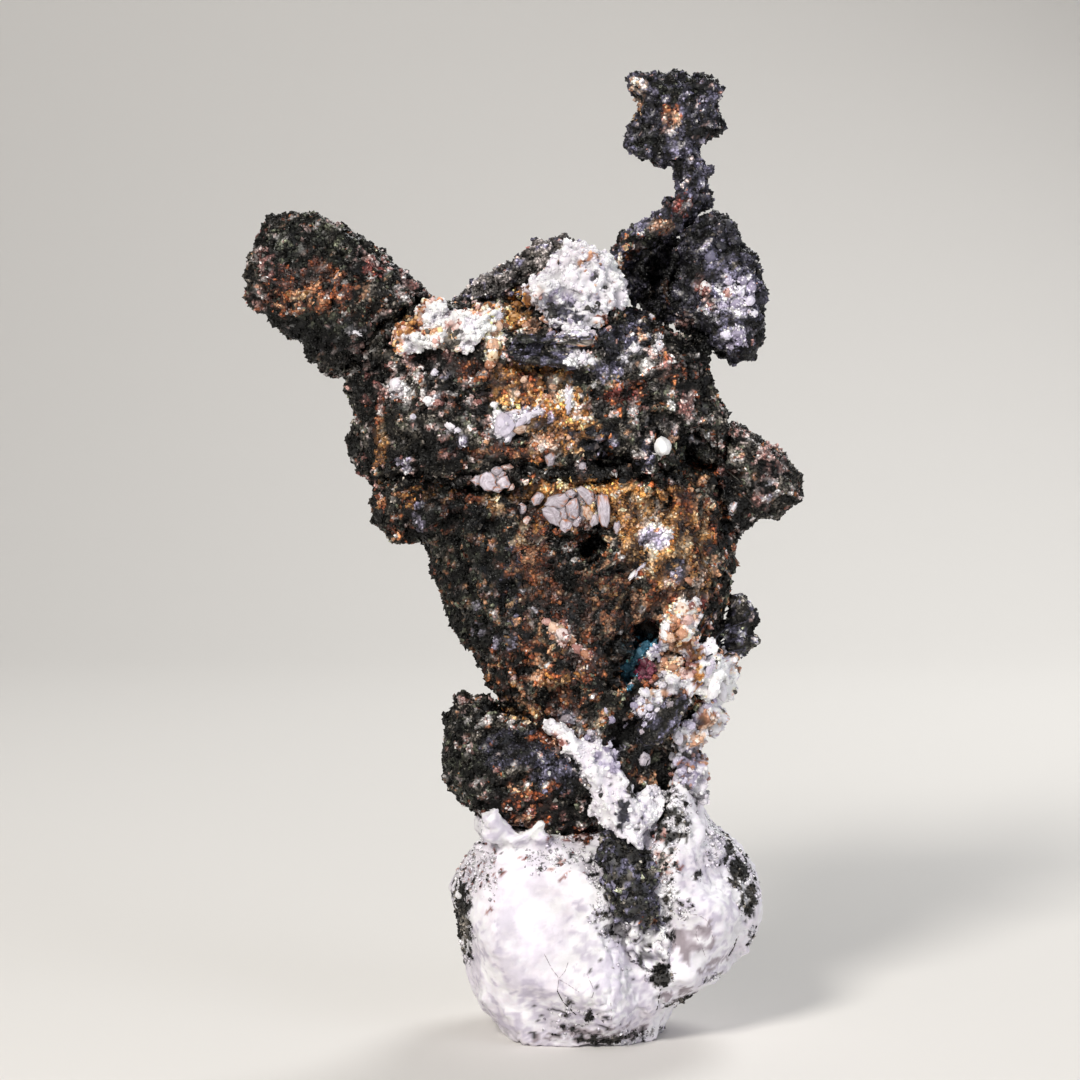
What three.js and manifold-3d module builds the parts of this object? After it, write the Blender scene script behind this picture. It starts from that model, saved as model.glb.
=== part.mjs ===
// A cabinet specimen of native silver on calcite, 100 mm tall, standing on the flat of its calcite foot.
// Spongy, tarnished silver grew as one branching mass: a trunk, a broad shoulder, a club-shaped left arm,
// a thin crown branch with a knobbly head, a hanging lobe, a spur, a fin, a crest and a heel.
// White calcite is the foot, the veins and caps on the silver, and the small crystals in its hollows.
// Millimetres, +Z up, -Y is the show side. The origin is on the flat of the foot, under the trunk.
import * as THREE from "three";
import { mergeVertices } from "three/addons/utils/BufferGeometryUtils.js";
import Module from "manifold-3d";

const wasm = await Module();
wasm.setup();

// Driving dimensions.
const specimenHeight = 100;
const footDepth = 24; // the calcite foot, front to back
const trunkDepth = 18; // the silver trunk and shoulder, front to back
const armDepth = 11; // the left arm
const branchWidth = 3.4; // the neck of the crown branch
const gap = 0.3; // left between two pieces that grew against each other
const facetEdge = 2.6; // the size of a facet on a big boulder
const fineFacetEdge = 1.85; // the same on a knobbly small one
const swell = 0.16; // how far the front and back of a boulder rise and sink, as a share of its depth
const fullness = 0.8; // 1 is an ellipsoid's section, less is boxier
const silverRough = 0.75; // how far the silver's lumps and pits stand off a smooth surface
const calciteRough = 0.35; // the same for massive calcite

const finish = (color, roughness, metalness) =>
  new THREE.MeshStandardMaterial({ color, roughness, metalness });
const tarnishedSilver = finish(0x4a474a, 0.55, 0.7);
const stainedSilver = finish(0x6e5238, 0.65, 0.4);
const blueGreySilver = finish(0x5e5f70, 0.45, 0.8);
const calcite = finish(0xf1ecf2, 0.45, 0);

const radians = THREE.MathUtils.degToRad;

// A smooth, repeatable unevenness between about -1 and 1, from sines that don't share a period.
function unevenness(x, y, z) {
  const lumpy = Math.sin(0.71 * x + 1.3 * y + 0.4) * Math.cos(0.83 * z - 0.57 * y);
  const wavy = Math.sin(0.93 * z + 0.49 * x + 2.1);
  const knobbly = Math.sin(2.3 * x - 1.9 * z + 0.7) * Math.cos(2.1 * y + 1.1 * x);
  const ribbed = Math.sin(2.6 * z + 1.7 * y);
  return 0.32 * (lumpy + wavy) + 0.24 * (knobbly + ribbed);
}

// Broad rises and hollows, which differ between the show side and the back.
function swelling(x, z, side) {
  return Math.sin(0.37 * x + 0.31 * z + side) * Math.cos(0.29 * z - 0.22 * x + 2 * side);
}

// A three.js geometry as a manifold-3d solid, and back.
function solidOf(geometry) {
  geometry.deleteAttribute("normal");
  geometry.deleteAttribute("uv");
  const merged = mergeVertices(geometry, 1e-3);
  return new wasm.Manifold(
    new wasm.Mesh({
      numProp: 3,
      vertProperties: new Float32Array(merged.attributes.position.array),
      triVerts: new Uint32Array(merged.index.array),
    }),
  );
}

function geometryOf(solid) {
  const mesh = solid.getMesh();
  return new THREE.BufferGeometry()
    .setAttribute("position", new THREE.BufferAttribute(mesh.vertProperties, 3))
    .setIndex(new THREE.BufferAttribute(mesh.triVerts, 1));
}

function eachPoint(geometry, move) {
  const points = geometry.attributes.position;
  const point = new THREE.Vector3();
  for (let i = 0; i < points.count; i++) {
    move(point.fromBufferAttribute(points, i));
    points.setXYZ(i, point.x, point.y, point.z);
  }
  return geometry;
}

// Moves a point of a smooth form out by the unevenness there, and by grow, the room for a neighbour.
function roughen(point, outward, rough, grow) {
  point.addScaledVector(outward, rough * unevenness(point.x, point.y, point.z) + grow);
}

// A boulder: a round-sided mass whose outline in the XZ plane is given, as seen from the show side.
function boulder({ middle, outline, front, back, rough = silverRough, facet = facetEdge }, grow) {
  const [mx, my, mz] = middle;
  const polar = outline
    .map(([x, z]) => ({ angle: Math.atan2(z - mz, x - mx), radius: Math.hypot(x - mx, z - mz) }))
    .sort((a, b) => a.angle - b.angle);
  const halfWidth = Math.max(...outline.map(([x]) => Math.abs(x - mx)));
  const halfHeight = Math.max(...outline.map(([, z]) => Math.abs(z - mz)));
  const radiusAt = (angle) => {
    const next = polar.findIndex((p) => p.angle > angle);
    const b = polar[next < 0 ? 0 : next];
    const a = polar.at((next < 0 ? 0 : next) - 1);
    const turn = (v) => (v + 4 * Math.PI) % (2 * Math.PI);
    return THREE.MathUtils.lerp(a.radius, b.radius, turn(angle - a.angle) / turn(b.angle - a.angle));
  };
  const size = Math.cbrt(halfWidth * halfHeight * (front + back) * 0.5);
  const detail = Math.max(1, Math.round((1.05 * size) / facet) - 1);
  const outward = new THREE.Vector3();
  return solidOf(
    eachPoint(new THREE.IcosahedronGeometry(1, detail), (p) => {
      const side = Math.sign(p.y);
      const rise = 1 + swell * swelling(mx + p.x * halfWidth, mz + p.z * halfHeight, side);
      const depth = (side < 0 ? front : back) * rise;
      outward.set(p.x / halfWidth, p.y / depth, p.z / halfHeight).normalize();
      const angle = Math.atan2(p.z * halfHeight, p.x * halfWidth);
      const reach = Math.hypot(p.x, p.z) ** fullness * radiusAt(angle);
      const inwards = side * Math.abs(p.y) ** fullness * depth;
      p.set(mx + reach * Math.cos(angle), my + inwards, mz + reach * Math.sin(angle));
      roughen(p, outward, rough, grow);
    }),
  );
}

// A lump: a rough ellipsoid at x, y, z with half sizes rx, ry, rz, its right end turned down by tilt.
function lump([x, y, z, rx, ry, rz, tilt = 0], rough, grow) {
  const size = Math.cbrt(rx * ry * rz);
  const detail = Math.round((1.05 * size) / facetEdge);
  const place = new THREE.Matrix4().makeRotationY(radians(tilt)).setPosition(x, y, z);
  const outward = new THREE.Vector3();
  return solidOf(
    eachPoint(new THREE.IcosahedronGeometry(1, detail), (p) => {
      outward.set(p.x / rx, p.y / ry, p.z / rz).normalize().transformDirection(place);
      p.set(p.x * rx, p.y * ry, p.z * rz).applyMatrix4(place);
      roughen(p, outward, rough * Math.min(1, size / 3), grow);
    }),
  );
}

// A limb: a rough round branch along a curve through the route's x, y, z, radius points, with blunt ends.
function limb({ route, sides = 7 }, grow) {
  const curve = new THREE.CatmullRomCurve3(route.map(([x, y, z]) => new THREE.Vector3(x, y, z)));
  const radii = route.map((point) => point[3]);
  const steps = Math.round(curve.getLength() / (facetEdge * 0.6));
  const depthwards = new THREE.Vector3(0, 1, 0);
  const outward = new THREE.Vector3();
  return solidOf(
    eachPoint(new THREE.SphereGeometry(1, sides, steps), (p) => {
      const t = Math.acos(THREE.MathUtils.clamp(p.y, -1, 1)) / Math.PI;
      const around = Math.atan2(p.z, p.x);
      const near = t * (radii.length - 1);
      const radius = THREE.MathUtils.lerp(radii[Math.floor(near)], radii[Math.ceil(near)], near % 1);
      const blunt = Math.sqrt(Math.max(0, 1 - (2 * t - 1) ** 8));
      const tangent = curve.getTangent(t);
      const sideways = new THREE.Vector3().crossVectors(tangent, depthwards).normalize();
      outward.copy(sideways).multiplyScalar(Math.cos(around));
      outward.addScaledVector(depthwards, -Math.sin(around));
      p.copy(curve.getPoint(t)).addScaledVector(outward, radius * blunt);
      if (blunt > 0.01) roughen(p, outward, silverRough * 0.5, grow);
      else p.addScaledVector(tangent, Math.sign(t - 0.5) * grow);
    }),
  );
}

// A crystal: a prism with blunt pyramid ends at x, y, z, leaning in the XZ plane and towards the viewer.
function prism([x, y, z, width, length, lean, forward], sides, grow) {
  const radius = width / 2 + grow;
  const half = length / 2 + grow;
  const shoulder = half - 0.3 * width;
  const profile = [
    [0, -half],
    [radius, -shoulder],
    [radius, shoulder],
    [0, half],
  ].map(([r, h]) => new THREE.Vector2(r, h));
  const crystal = new THREE.LatheGeometry(profile, sides);
  crystal.rotateX(radians(90 + forward)).rotateY(radians(lean)).translate(x, y, z);
  return solidOf(crystal);
}

// A leaf of silver: a flat plate of the outline, centred on x, y, z, its right end turned down by tilt.
function leaf({ at, outline, thickness, tilt = 0, tip = 0 }, grow) {
  const shape = new THREE.Shape(outline.map(([u, v]) => new THREE.Vector2(u, v)));
  const rim = thickness / 5;
  const plate = new THREE.ExtrudeGeometry(shape, {
    depth: thickness - 2 * rim + 2 * grow,
    bevelThickness: rim,
    bevelSize: rim + grow,
    bevelOffset: -rim,
    bevelSegments: 1,
  });
  plate.translate(0, 0, rim - thickness / 2 - grow);
  plate.rotateX(radians(90 + tip)).rotateY(radians(tilt)).translate(...at);
  return solidOf(plate);
}

// Each of these takes what a piece is made of, and gives a function of grow that makes its solids.
const boulders = (...list) => (grow) => list.map((one) => boulder(one, grow));
const lumps = (list, rough = silverRough) => (grow) => list.map((one) => lump(one, rough, grow));
const limbs = (...list) => (grow) => list.map((one) => limb(one, grow));
const prisms = (sides, list) => (grow) => list.map((one) => prism(one, sides, grow));
const leaves = (...list) => (grow) => list.map((one) => leaf(one, grow));

// The pieces, from the inside out: a later piece is cut to fit round the earlier ones that it meets.
const pieces = [
  {
    name: "silver_trunk",
    material: stainedSilver,
    made: [
      boulders({
        middle: [-1, 0, 45],
        front: trunkDepth / 2 + 0.6,
        back: trunkDepth / 2,
        outline: [
          [-18, 57.4], [-17.2, 52], [-16.2, 48], [-14.6, 44], [-13, 41], [-11.9, 38], [-9.6, 35],
          [-6, 27], [0, 22], [6, 20], [10, 23], [10.8, 31], [13.4, 38], [14, 44], [14.8, 50],
          [14.8, 56], [13.6, 60], [8, 62.4], [0, 63.4], [-10, 62.6], [-17, 60.6],
        ],
      }),
      lumps([
        [6.4, -3.8, 50.4, 6.2, 6.6, 5.6, -10],
        [-15.4, -0.6, 54.6, 7.6, 8, 4],
        [-4, 5.2, 47, 7, 5.4, 6, 30],
      ]),
    ],
    pits: lumps([
      [-0.2, -9.8, 50.7, 2, 2.6, 1.4, -20],
      [4.6, -8.6, 40.4, 1.9, 4, 3.8, 35],
    ]),
  },
  {
    name: "silver_shoulder",
    material: tarnishedSilver,
    made: [
      boulders({
        middle: [-5, 0, 65.6],
        front: trunkDepth / 2 + 0.4,
        back: trunkDepth / 2 - 0.4,
        outline: [
          [-24.8, 60.4], [-23.8, 64.4], [-25.4, 67.6], [-23.6, 73], [-18, 75.6], [-13, 75],
          [-8, 75.6], [-3, 75.2], [3, 75.6], [7, 74.4], [9.4, 72.2], [12.4, 71.6], [12.6, 69],
          [11.8, 67], [13.8, 64.4], [15, 61], [12, 56], [2, 53.4], [-8, 53], [-17, 54],
          [-23.4, 57.4],
        ],
      }),
      lumps([
        [-16, -4, 65.4, 5.6, 5.8, 4.8],
        [2, 4.6, 68, 7, 5, 4.6, 20],
      ]),
    ],
    pits: lumps([
      [10.4, -7.4, 60.4, 2.2, 3.4, 2.6],
      [2.2, -9.6, 59.6, 4, 2.4, 1.3],
    ]),
  },
  {
    name: "silver_heel",
    material: tarnishedSilver,
    made: [
      boulders({
        middle: [-6.6, -2.6, 28.6],
        front: 7.4,
        back: 7,
        outline: [
          [-14.2, 35.6], [-11.4, 34.6], [-7.4, 35], [-3, 33], [0.4, 29.6], [2, 25.4], [2.4, 22.2],
          [-0.6, 20.6], [-4, 21.4], [-8.4, 22], [-12.2, 23.8], [-15, 26.6], [-15.3, 29], [-15, 32],
        ],
      }),
    ],
  },
  {
    name: "silver_left_arm",
    material: tarnishedSilver,
    made: [
      boulders({
        middle: [-25, 0, 76],
        front: armDepth / 2,
        back: armDepth / 2,
        outline: [
          [-35, 81.4], [-33, 83.9], [-30.8, 85.7], [-27.4, 83.9], [-21.4, 80.4], [-17.8, 77.4],
          [-14.6, 74], [-17, 69], [-24, 67.4], [-28.4, 69], [-29.6, 71.4], [-33.8, 74.2],
          [-35.2, 76.8],
        ],
      }),
    ],
  },
  {
    name: "silver_right_spur",
    material: tarnishedSilver,
    made: [
      boulders({
        middle: [15, 0, 57.6],
        front: 5,
        back: 4.8,
        outline: [
          [9, 62.4], [14.2, 63.6], [17.4, 61.4], [19.8, 60], [21.2, 57.8], [22, 55.6],
          [19.8, 53.8], [18.4, 52.6], [16.4, 53], [15.8, 51.4], [12, 50], [9, 54],
        ],
      }),
    ],
  },
  {
    name: "silver_crown_branch",
    material: blueGreySilver,
    made: [
      boulders({
        middle: [8.6, 0, 94.9],
        front: 3.4,
        back: 3.2,
        facet: fineFacetEdge,
        outline: [
          [3.4, 98.4], [5, 99.4], [7.4, 98.6], [8.6, 99.8], [10.2, 99], [13.2, 98.8], [14.4, 97],
          [12.5, 95.4], [14.2, 93.4], [13, 92], [11.4, 91.4], [11, 89.6], [8.2, 89.4], [5.8, 89.2],
          [4.2, 90.6], [3, 92.2], [3.8, 94.1], [4.9, 94.9], [3.6, 96.6],
        ],
      }),
      limbs(
        {
          route: [
            [9.8, 0, 92, branchWidth / 2], [10.3, 0, 88.6, branchWidth * 0.6],
            [10.2, 0, 85.8, branchWidth * 0.6], [8.4, -0.4, 83.4, branchWidth / 2],
            [5.6, -0.4, 81.8, branchWidth / 2], [4, 0, 79.6, branchWidth / 2],
            [4.2, 0.6, 77.4, branchWidth / 2], [5, 1.6, 74.6, branchWidth * 0.6],
          ],
        },
        {
          route: [
            [10, 0, 88.4, 1.2], [12, 0.3, 86.8, 1], [11.8, 0.4, 84, 1.2],
          ],
        },
      ),
      lumps([[12.1, 0.2, 89, 1.1, 1.3, 1]]),
    ],
  },
  {
    name: "silver_right_lobe",
    material: blueGreySilver,
    made: [
      boulders({
        middle: [13, 0, 77],
        front: 4.6,
        back: 4.2,
        facet: fineFacetEdge,
        outline: [
          [8.6, 81.6], [10.4, 84.4], [13.4, 85.2], [15.4, 83.4], [15.2, 82], [17.4, 81.4],
          [17.3, 78.6], [17.9, 75.6], [18.1, 72], [17.2, 69.6], [15.2, 68.9], [12.8, 70],
          [11.2, 72], [9, 71.6], [8.2, 74], [8.2, 78.6],
        ],
      }),
      lumps([[7.6, 2.6, 77.4, 2.9, 2, 5]]),
    ],
  },
  {
    name: "silver_crest",
    material: tarnishedSilver,
    made: [
      limbs({
        route: [
          [-16.4, 2.4, 73.6, 1.6], [-13, 2.6, 74.4, 2.1], [-9.6, 2.6, 76.2, 2.5],
          [-6.4, 2.6, 78.2, 2.7], [-3.2, 2.4, 80.2, 2.5], [-0.8, 2.2, 79.4, 2.2], [1.4, 2, 77, 2],
        ],
        sides: 8,
      }),
    ],
  },
  {
    name: "silver_lower_fin",
    material: tarnishedSilver,
    made: [
      leaves({
        at: [13.8, 0.4, 42],
        outline: [
          [-3.6, -3.2], [-0.4, -3.8], [1.8, -3.2], [3.9, -1.3], [3, -0.4], [3.9, 0.6], [3, 2.4],
          [2, 3.6], [-0.6, 3.2], [-3.4, 3.6],
        ],
        thickness: 4,
      }),
    ],
  },
  {
    name: "silver_blades",
    material: blueGreySilver,
    made: [
      leaves({
        at: [-4.6, -9, 70.4],
        outline: [
          [-3.9, -0.7], [-0.4, -1.6], [3.4, -1.4], [4.6, 0.1], [2.6, 0.8], [-0.4, 1.6],
          [-3.6, 1.4],
        ],
        thickness: 3.4,
        tilt: 6,
        tip: -14,
      }),
    ],
  },
  {
    name: "calcite_foot",
    material: calcite,
    made: [
      boulders(
        {
          middle: [-3.6, 0, 10.4],
          front: footDepth / 2,
          back: footDepth / 2,
          rough: calciteRough,
          outline: [
            [-11.8, 3.6], [-12.1, 6.6], [-13.8, 12], [-14.3, 15], [-13.2, 17.8], [-10.4, 20.8],
            [-5, 22.8], [0, 22], [4, 19], [6.4, 14], [8, 8], [7.4, 2], [6.2, -1.6], [0, -3],
            [-6, -2.4], [-9.2, 0.6],
          ],
        },
        {
          middle: [7, 0, 12],
          front: footDepth / 2 - 1.2,
          back: footDepth / 2 - 1.4,
          rough: calciteRough,
          outline: [
            [6, 26], [9.6, 28.6], [11, 26], [11.8, 22.6], [14.8, 19.6], [17, 17.2], [18, 13.6],
            [17.6, 10.4], [13.8, 6.8], [10.8, 4.2], [8.6, 2.8], [6.6, -1.6], [0, -2.4], [-4, 2],
            [-5, 10], [-2, 18], [2, 23],
          ],
        },
      ),
      lumps([[-9.8, -3, 22.2, 2.2, 2.6, 2.4]], calciteRough),
    ],
    cutFlat: true,
  },
  {
    name: "silver_root",
    material: tarnishedSilver,
    made: [
      boulders({
        middle: [4.2, -9.2, 15.4],
        front: 3.2,
        back: 3.4,
        facet: fineFacetEdge,
        outline: [
          [-0.6, 23], [3, 22], [5.6, 20.4], [6.8, 16], [7.4, 12], [8.2, 8], [7, 6], [5.4, 8.6],
          [3.4, 12], [1.6, 15], [1, 19],
        ],
      }),
    ],
  },
  {
    name: "calcite_vein",
    material: calcite,
    made: [
      limbs(
        {
          route: [
            [-3.4, -6.6, 31.6, 1.4], [-0.6, -7.2, 29.8, 2.2], [1.4, -7.4, 27.4, 2.6],
            [2, -7.6, 25, 2.3], [3.6, -8, 22.6, 2.6], [5.2, -8.2, 20.6, 1.7],
          ],
        },
        {
          route: [
            [3.4, -8, 22, 1.6], [5.6, -7.6, 24, 1.7], [6.6, -6.6, 26.8, 1.4],
          ],
        },
      ),
      lumps([[2.8, -6.4, 31, 1.7, 2.6, 1.7, 40]], calciteRough),
    ],
  },
  {
    name: "calcite_column",
    material: calcite,
    made: [
      prisms(6, [
        [9.9, -5, 27, 4.6, 7.4, 4, 0],
        [9.7, -5.6, 31.4, 4, 5.4, -16, 0],
        [11.9, -4.6, 33.4, 4.8, 4.8, 40, 10],
        [13.3, -3.4, 37.4, 4.2, 6.4, 6, 0],
        [10.8, -6.8, 38.6, 5.6, 6.4, 30, 16],
        [8, -7.6, 37, 3.8, 4.4, -30, 10],
        [8.8, -7.6, 41.8, 4.4, 5, 20, 24],
        [6.4, -8, 40.4, 2.4, 3.2, 60, 0],
        [9.7, -7.8, 45, 3.2, 4.4, -6, 16],
        [5.8, -7.8, 35.2, 3.6, 4, 45, 0],
      ]),
    ],
  },
  {
    name: "silver_lower_leaf",
    material: blueGreySilver,
    made: [
      leaves({
        at: [7, -8.4, 33.4],
        outline: [
          [-3.4, -0.6], [-1.6, -1.7], [1.2, -1.6], [3.9, -0.3], [3.4, 1], [0.6, 1.7], [-2.4, 1.3],
        ],
        thickness: 3.2,
        tilt: -42,
      }),
    ],
  },
  {
    name: "calcite_cap",
    material: calcite,
    made: [
      lumps(
        [
          [-0.9, -2, 77.6, 4.1, 4.6, 3.9],
          [-4, -3.4, 75.8, 2.8, 3.8, 2.8],
          [1.8, -2.8, 76, 2.1, 3.6, 3.2],
          [-1.6, -6, 73.6, 3.8, 3.2, 1.9],
        ],
        calciteRough,
      ),
    ],
  },
  {
    name: "calcite_shoulder_crust",
    material: calcite,
    made: [
      lumps(
        [
          [-15.9, -5.8, 74.2, 1.8, 2.6, 1.8],
          [-18.2, -6.6, 72, 2, 2.6, 1.8],
          [-15.4, -7.4, 72, 2.2, 2.6, 1.7],
          [-12.6, -7.6, 72.2, 2.3, 2.8, 2.5],
          [-10.6, -7, 73.8, 1.9, 2.8, 1.8],
        ],
        calciteRough,
      ),
    ],
  },
  {
    name: "calcite_prisms",
    material: calcite,
    made: [
      prisms(6, [
        [-4.2, -9.3, 55.1, 1.7, 3.4, 24, 10],
        [-3.2, -9.5, 54.5, 1.8, 3.6, 32, 4],
        [-3, -9.3, 56.2, 1.7, 2.2, 70, 0],
        [-2.1, -9.6, 55.4, 1.5, 3.6, 20, 12],
        [-2.5, -9.7, 53.8, 1.5, 2, -30, 0],
        [-1.2, -9.7, 55.2, 1.4, 4, 10, 8],
        [-0.3, -9.5, 56.3, 1.4, 2.4, 30, 10],
        [-0.1, -9.5, 54.6, 1.5, 2.6, -6, 6],
        [1.1, -9.3, 55.1, 1.3, 4, -2, 8],
        [-5.3, -9, 56.1, 1.4, 2, -50, 0],
      ]),
    ],
  },
  {
    name: "calcite_rhombs",
    material: calcite,
    made: [
      prisms(4, [
        [-11.3, -8.1, 57.9, 1.2, 2, 80, 0],
        [-10.3, -8.4, 58.3, 1.8, 2.4, 20, 0],
        [-9.5, -8.5, 57.7, 1.7, 2.2, 60, 0],
        [-9.1, -8.6, 58.6, 1.4, 1.8, -20, 0],
        [-8.4, -8.5, 57.8, 1.3, 1.6, 30, 0],
        [-10, -8.6, 59.2, 1, 1.4, 0, 0],
      ]),
    ],
  },
  {
    name: "calcite_bead",
    material: calcite,
    made: [lumps([[7.1, -8.2, 61, 1.1, 1.8, 1.3, -10]], calciteRough)],
  },
];

// Each piece is joined, cut round the earlier ones and flat where it rests, and its largest part is kept.
const union = (solids) => wasm.Manifold.union(solids);
const madeOf = (made, grow) => union(made.flatMap((make) => make(grow)));
const largest = (solid) => solid.decompose().reduce((a, b) => (b.volume() > a.volume() ? b : a));
const floorBlock = new THREE.BoxGeometry(specimenHeight, specimenHeight, specimenHeight);
const below = solidOf(floorBlock.translate(0, 0, -specimenHeight / 2));

const specimen = new THREE.Group();
const earlier = [];
for (const { name, material, made, pits, cutFlat } of pieces) {
  let solid = madeOf(made, 0);
  if (pits) solid = solid.subtract(union(pits(0)));
  if (cutFlat) solid = solid.subtract(below);
  if (earlier.length) solid = solid.subtract(union(earlier));
  earlier.push(madeOf(made, gap));
  const mesh = new THREE.Mesh(geometryOf(largest(solid)), material);
  mesh.name = name;
  specimen.add(mesh);
}

// The rough lumps end a little off their round sizes, so the whole is brought to its stated height.
specimen.scale.setScalar(specimenHeight / new THREE.Box3().setFromObject(specimen).max.z);

export default specimen;
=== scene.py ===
import math

import bmesh
import bpy
import numpy as np
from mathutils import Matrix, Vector
from mathutils.bvhtree import BVHTree


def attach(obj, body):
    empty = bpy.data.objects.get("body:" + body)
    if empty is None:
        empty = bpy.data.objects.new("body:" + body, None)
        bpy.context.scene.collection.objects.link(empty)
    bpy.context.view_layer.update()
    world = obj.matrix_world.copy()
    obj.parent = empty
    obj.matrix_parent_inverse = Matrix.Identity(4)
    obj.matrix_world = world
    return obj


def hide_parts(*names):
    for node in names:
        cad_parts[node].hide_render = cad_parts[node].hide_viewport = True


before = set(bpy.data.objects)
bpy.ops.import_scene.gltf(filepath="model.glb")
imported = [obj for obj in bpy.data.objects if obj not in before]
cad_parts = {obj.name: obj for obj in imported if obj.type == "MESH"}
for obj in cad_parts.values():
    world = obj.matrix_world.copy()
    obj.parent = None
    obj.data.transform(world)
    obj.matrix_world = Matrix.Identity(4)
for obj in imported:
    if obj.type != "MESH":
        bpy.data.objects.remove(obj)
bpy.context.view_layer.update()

mm = 0.001
print("stage: frame loaded,", len(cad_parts), "nodes")


def linear(hexColour):  # an sRGB hex colour as linear red, green, blue
    parts = [int(hexColour[i:i + 2], 16) / 255 for i in (1, 3, 5)]
    return tuple(p / 12.92 if p <= 0.04045 else ((p + 0.055) / 1.055) ** 2.4 for p in parts)


def addNode(tree, kind, inputs=None, **settings):  # one node with its settings and links
    node = tree.nodes.new(kind)
    for name, value in settings.items():
        setattr(node, name, value)
    for name, value in (inputs or {}).items():
        shown = [s for s in node.inputs if s.enabled and s.name == name]  # of its sockets with this name
        socket = shown[0] if shown else node.inputs[name]
        if isinstance(value, bpy.types.Node):  # a node stands for the first output that it shows
            value = next(s for s in value.outputs if s.enabled)
        if isinstance(value, bpy.types.NodeSocket):
            tree.links.new(value, socket)
        else:
            socket.default_value = value
    return node


maths = "ShaderNodeMath"
vectorMaths = "ShaderNodeVectorMath"


def newTree(name, sockets):  # a geometry node tree with named inputs, and its input and output nodes
    tree = bpy.data.node_groups.new(name, "GeometryNodeTree")
    tree.interface.new_socket("Geometry", in_out="INPUT", socket_type="NodeSocketGeometry")
    for socketName, kind, value in sockets:
        socket = tree.interface.new_socket(socketName, in_out="INPUT", socket_type="NodeSocket" + kind)
        if value is not None:
            socket.default_value = value
    tree.interface.new_socket("Geometry", in_out="OUTPUT", socket_type="NodeSocketGeometry")
    return tree, tree.nodes.new("NodeGroupInput").outputs, tree.nodes.new("NodeGroupOutput").inputs


def endTree(tree, given, result, made):  # every tree ends in real geometry with its material
    real = addNode(tree, "GeometryNodeRealizeInstances", {"Geometry": made})
    dressed = addNode(tree, "GeometryNodeSetMaterial", {"Geometry": real, "Material": given["Material"]})
    tree.links.new(dressed.outputs[0], result["Geometry"])
    return tree


def newObject(name, mesh):
    piece = bpy.data.objects.new(name, mesh)
    bpy.context.scene.collection.objects.link(piece)
    return piece


def settle(piece, name):  # the evaluated piece as a plain mesh object, at the origin
    graph = bpy.context.evaluated_depsgraph_get()
    mesh = bpy.data.meshes.new_from_object(
        piece.evaluated_get(graph), preserve_all_data_layers=True, depsgraph=graph)
    old = piece.data
    bpy.data.objects.remove(piece)
    if old.users == 0:
        bpy.data.meshes.remove(old)
    mesh.name = name
    return newObject(name, mesh)


def runTree(piece, tree, values, name):  # runs a tree on the piece, with its inputs set by identifier
    modifier = piece.modifiers.new("growth", "NODES")
    modifier.node_group = tree
    for socket in tree.interface.items_tree:
        if socket.in_out == "INPUT" and socket.name in values:
            modifier[socket.identifier] = values[socket.name]
    return settle(piece, name)


def pointsOf(mesh):
    places = np.empty(len(mesh.vertices) * 3, np.float32)
    mesh.vertices.foreach_get("co", places)
    return places.reshape(-1, 3).astype(float)


def readAttribute(mesh, name, width=1):
    values = np.zeros(len(mesh.vertices) * width, np.float32)
    mesh.attributes[name].data.foreach_get("vector" if width == 3 else "value", values)
    return values.reshape(-1, width).astype(float) if width > 1 else values.astype(float)


def writeAttribute(mesh, name, values, kind="FLOAT"):
    attribute = mesh.attributes.get(name) or mesh.attributes.new(name, kind, "POINT")
    key = "color" if kind == "FLOAT_COLOR" else "value"
    attribute.data.foreach_set(key, np.ascontiguousarray(values, np.float32).ravel())


def smoothStep(low, high, value):
    t = np.clip((value - low) / (high - low), 0, 1)
    return t * t * (3 - 2 * t)


def fromOval(places, x, z, halfWidth, halfHeight):  # how far places are from an oval's middle: 1 is its edge
    return np.hypot((places[:, 0] - x) / halfWidth, (places[:, 2] - z) / halfHeight)


def scatter(value, turn):  # a second, third... even random number made from a first one
    return np.modf(np.abs(np.sin(value * 91.7 + turn * 12.9898)) * 43758.5453)[0]


def evenRank(values):  # noise turned to even chances, so that shares come out as asked
    ranks = np.empty(len(values))
    ranks[np.argsort(values, kind="stable")] = np.arange(len(values))
    return (ranks + 0.5) / max(len(values), 1)


def firstTouch(surface, x, z):  # how far forward a surface comes at a place, in mm, or None beside it
    hit = surface.ray_cast(Vector((x * mm, -0.1, z * mm)), Vector((0, 1, 0)))[0]
    return None if hit is None else hit.y / mm


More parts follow.
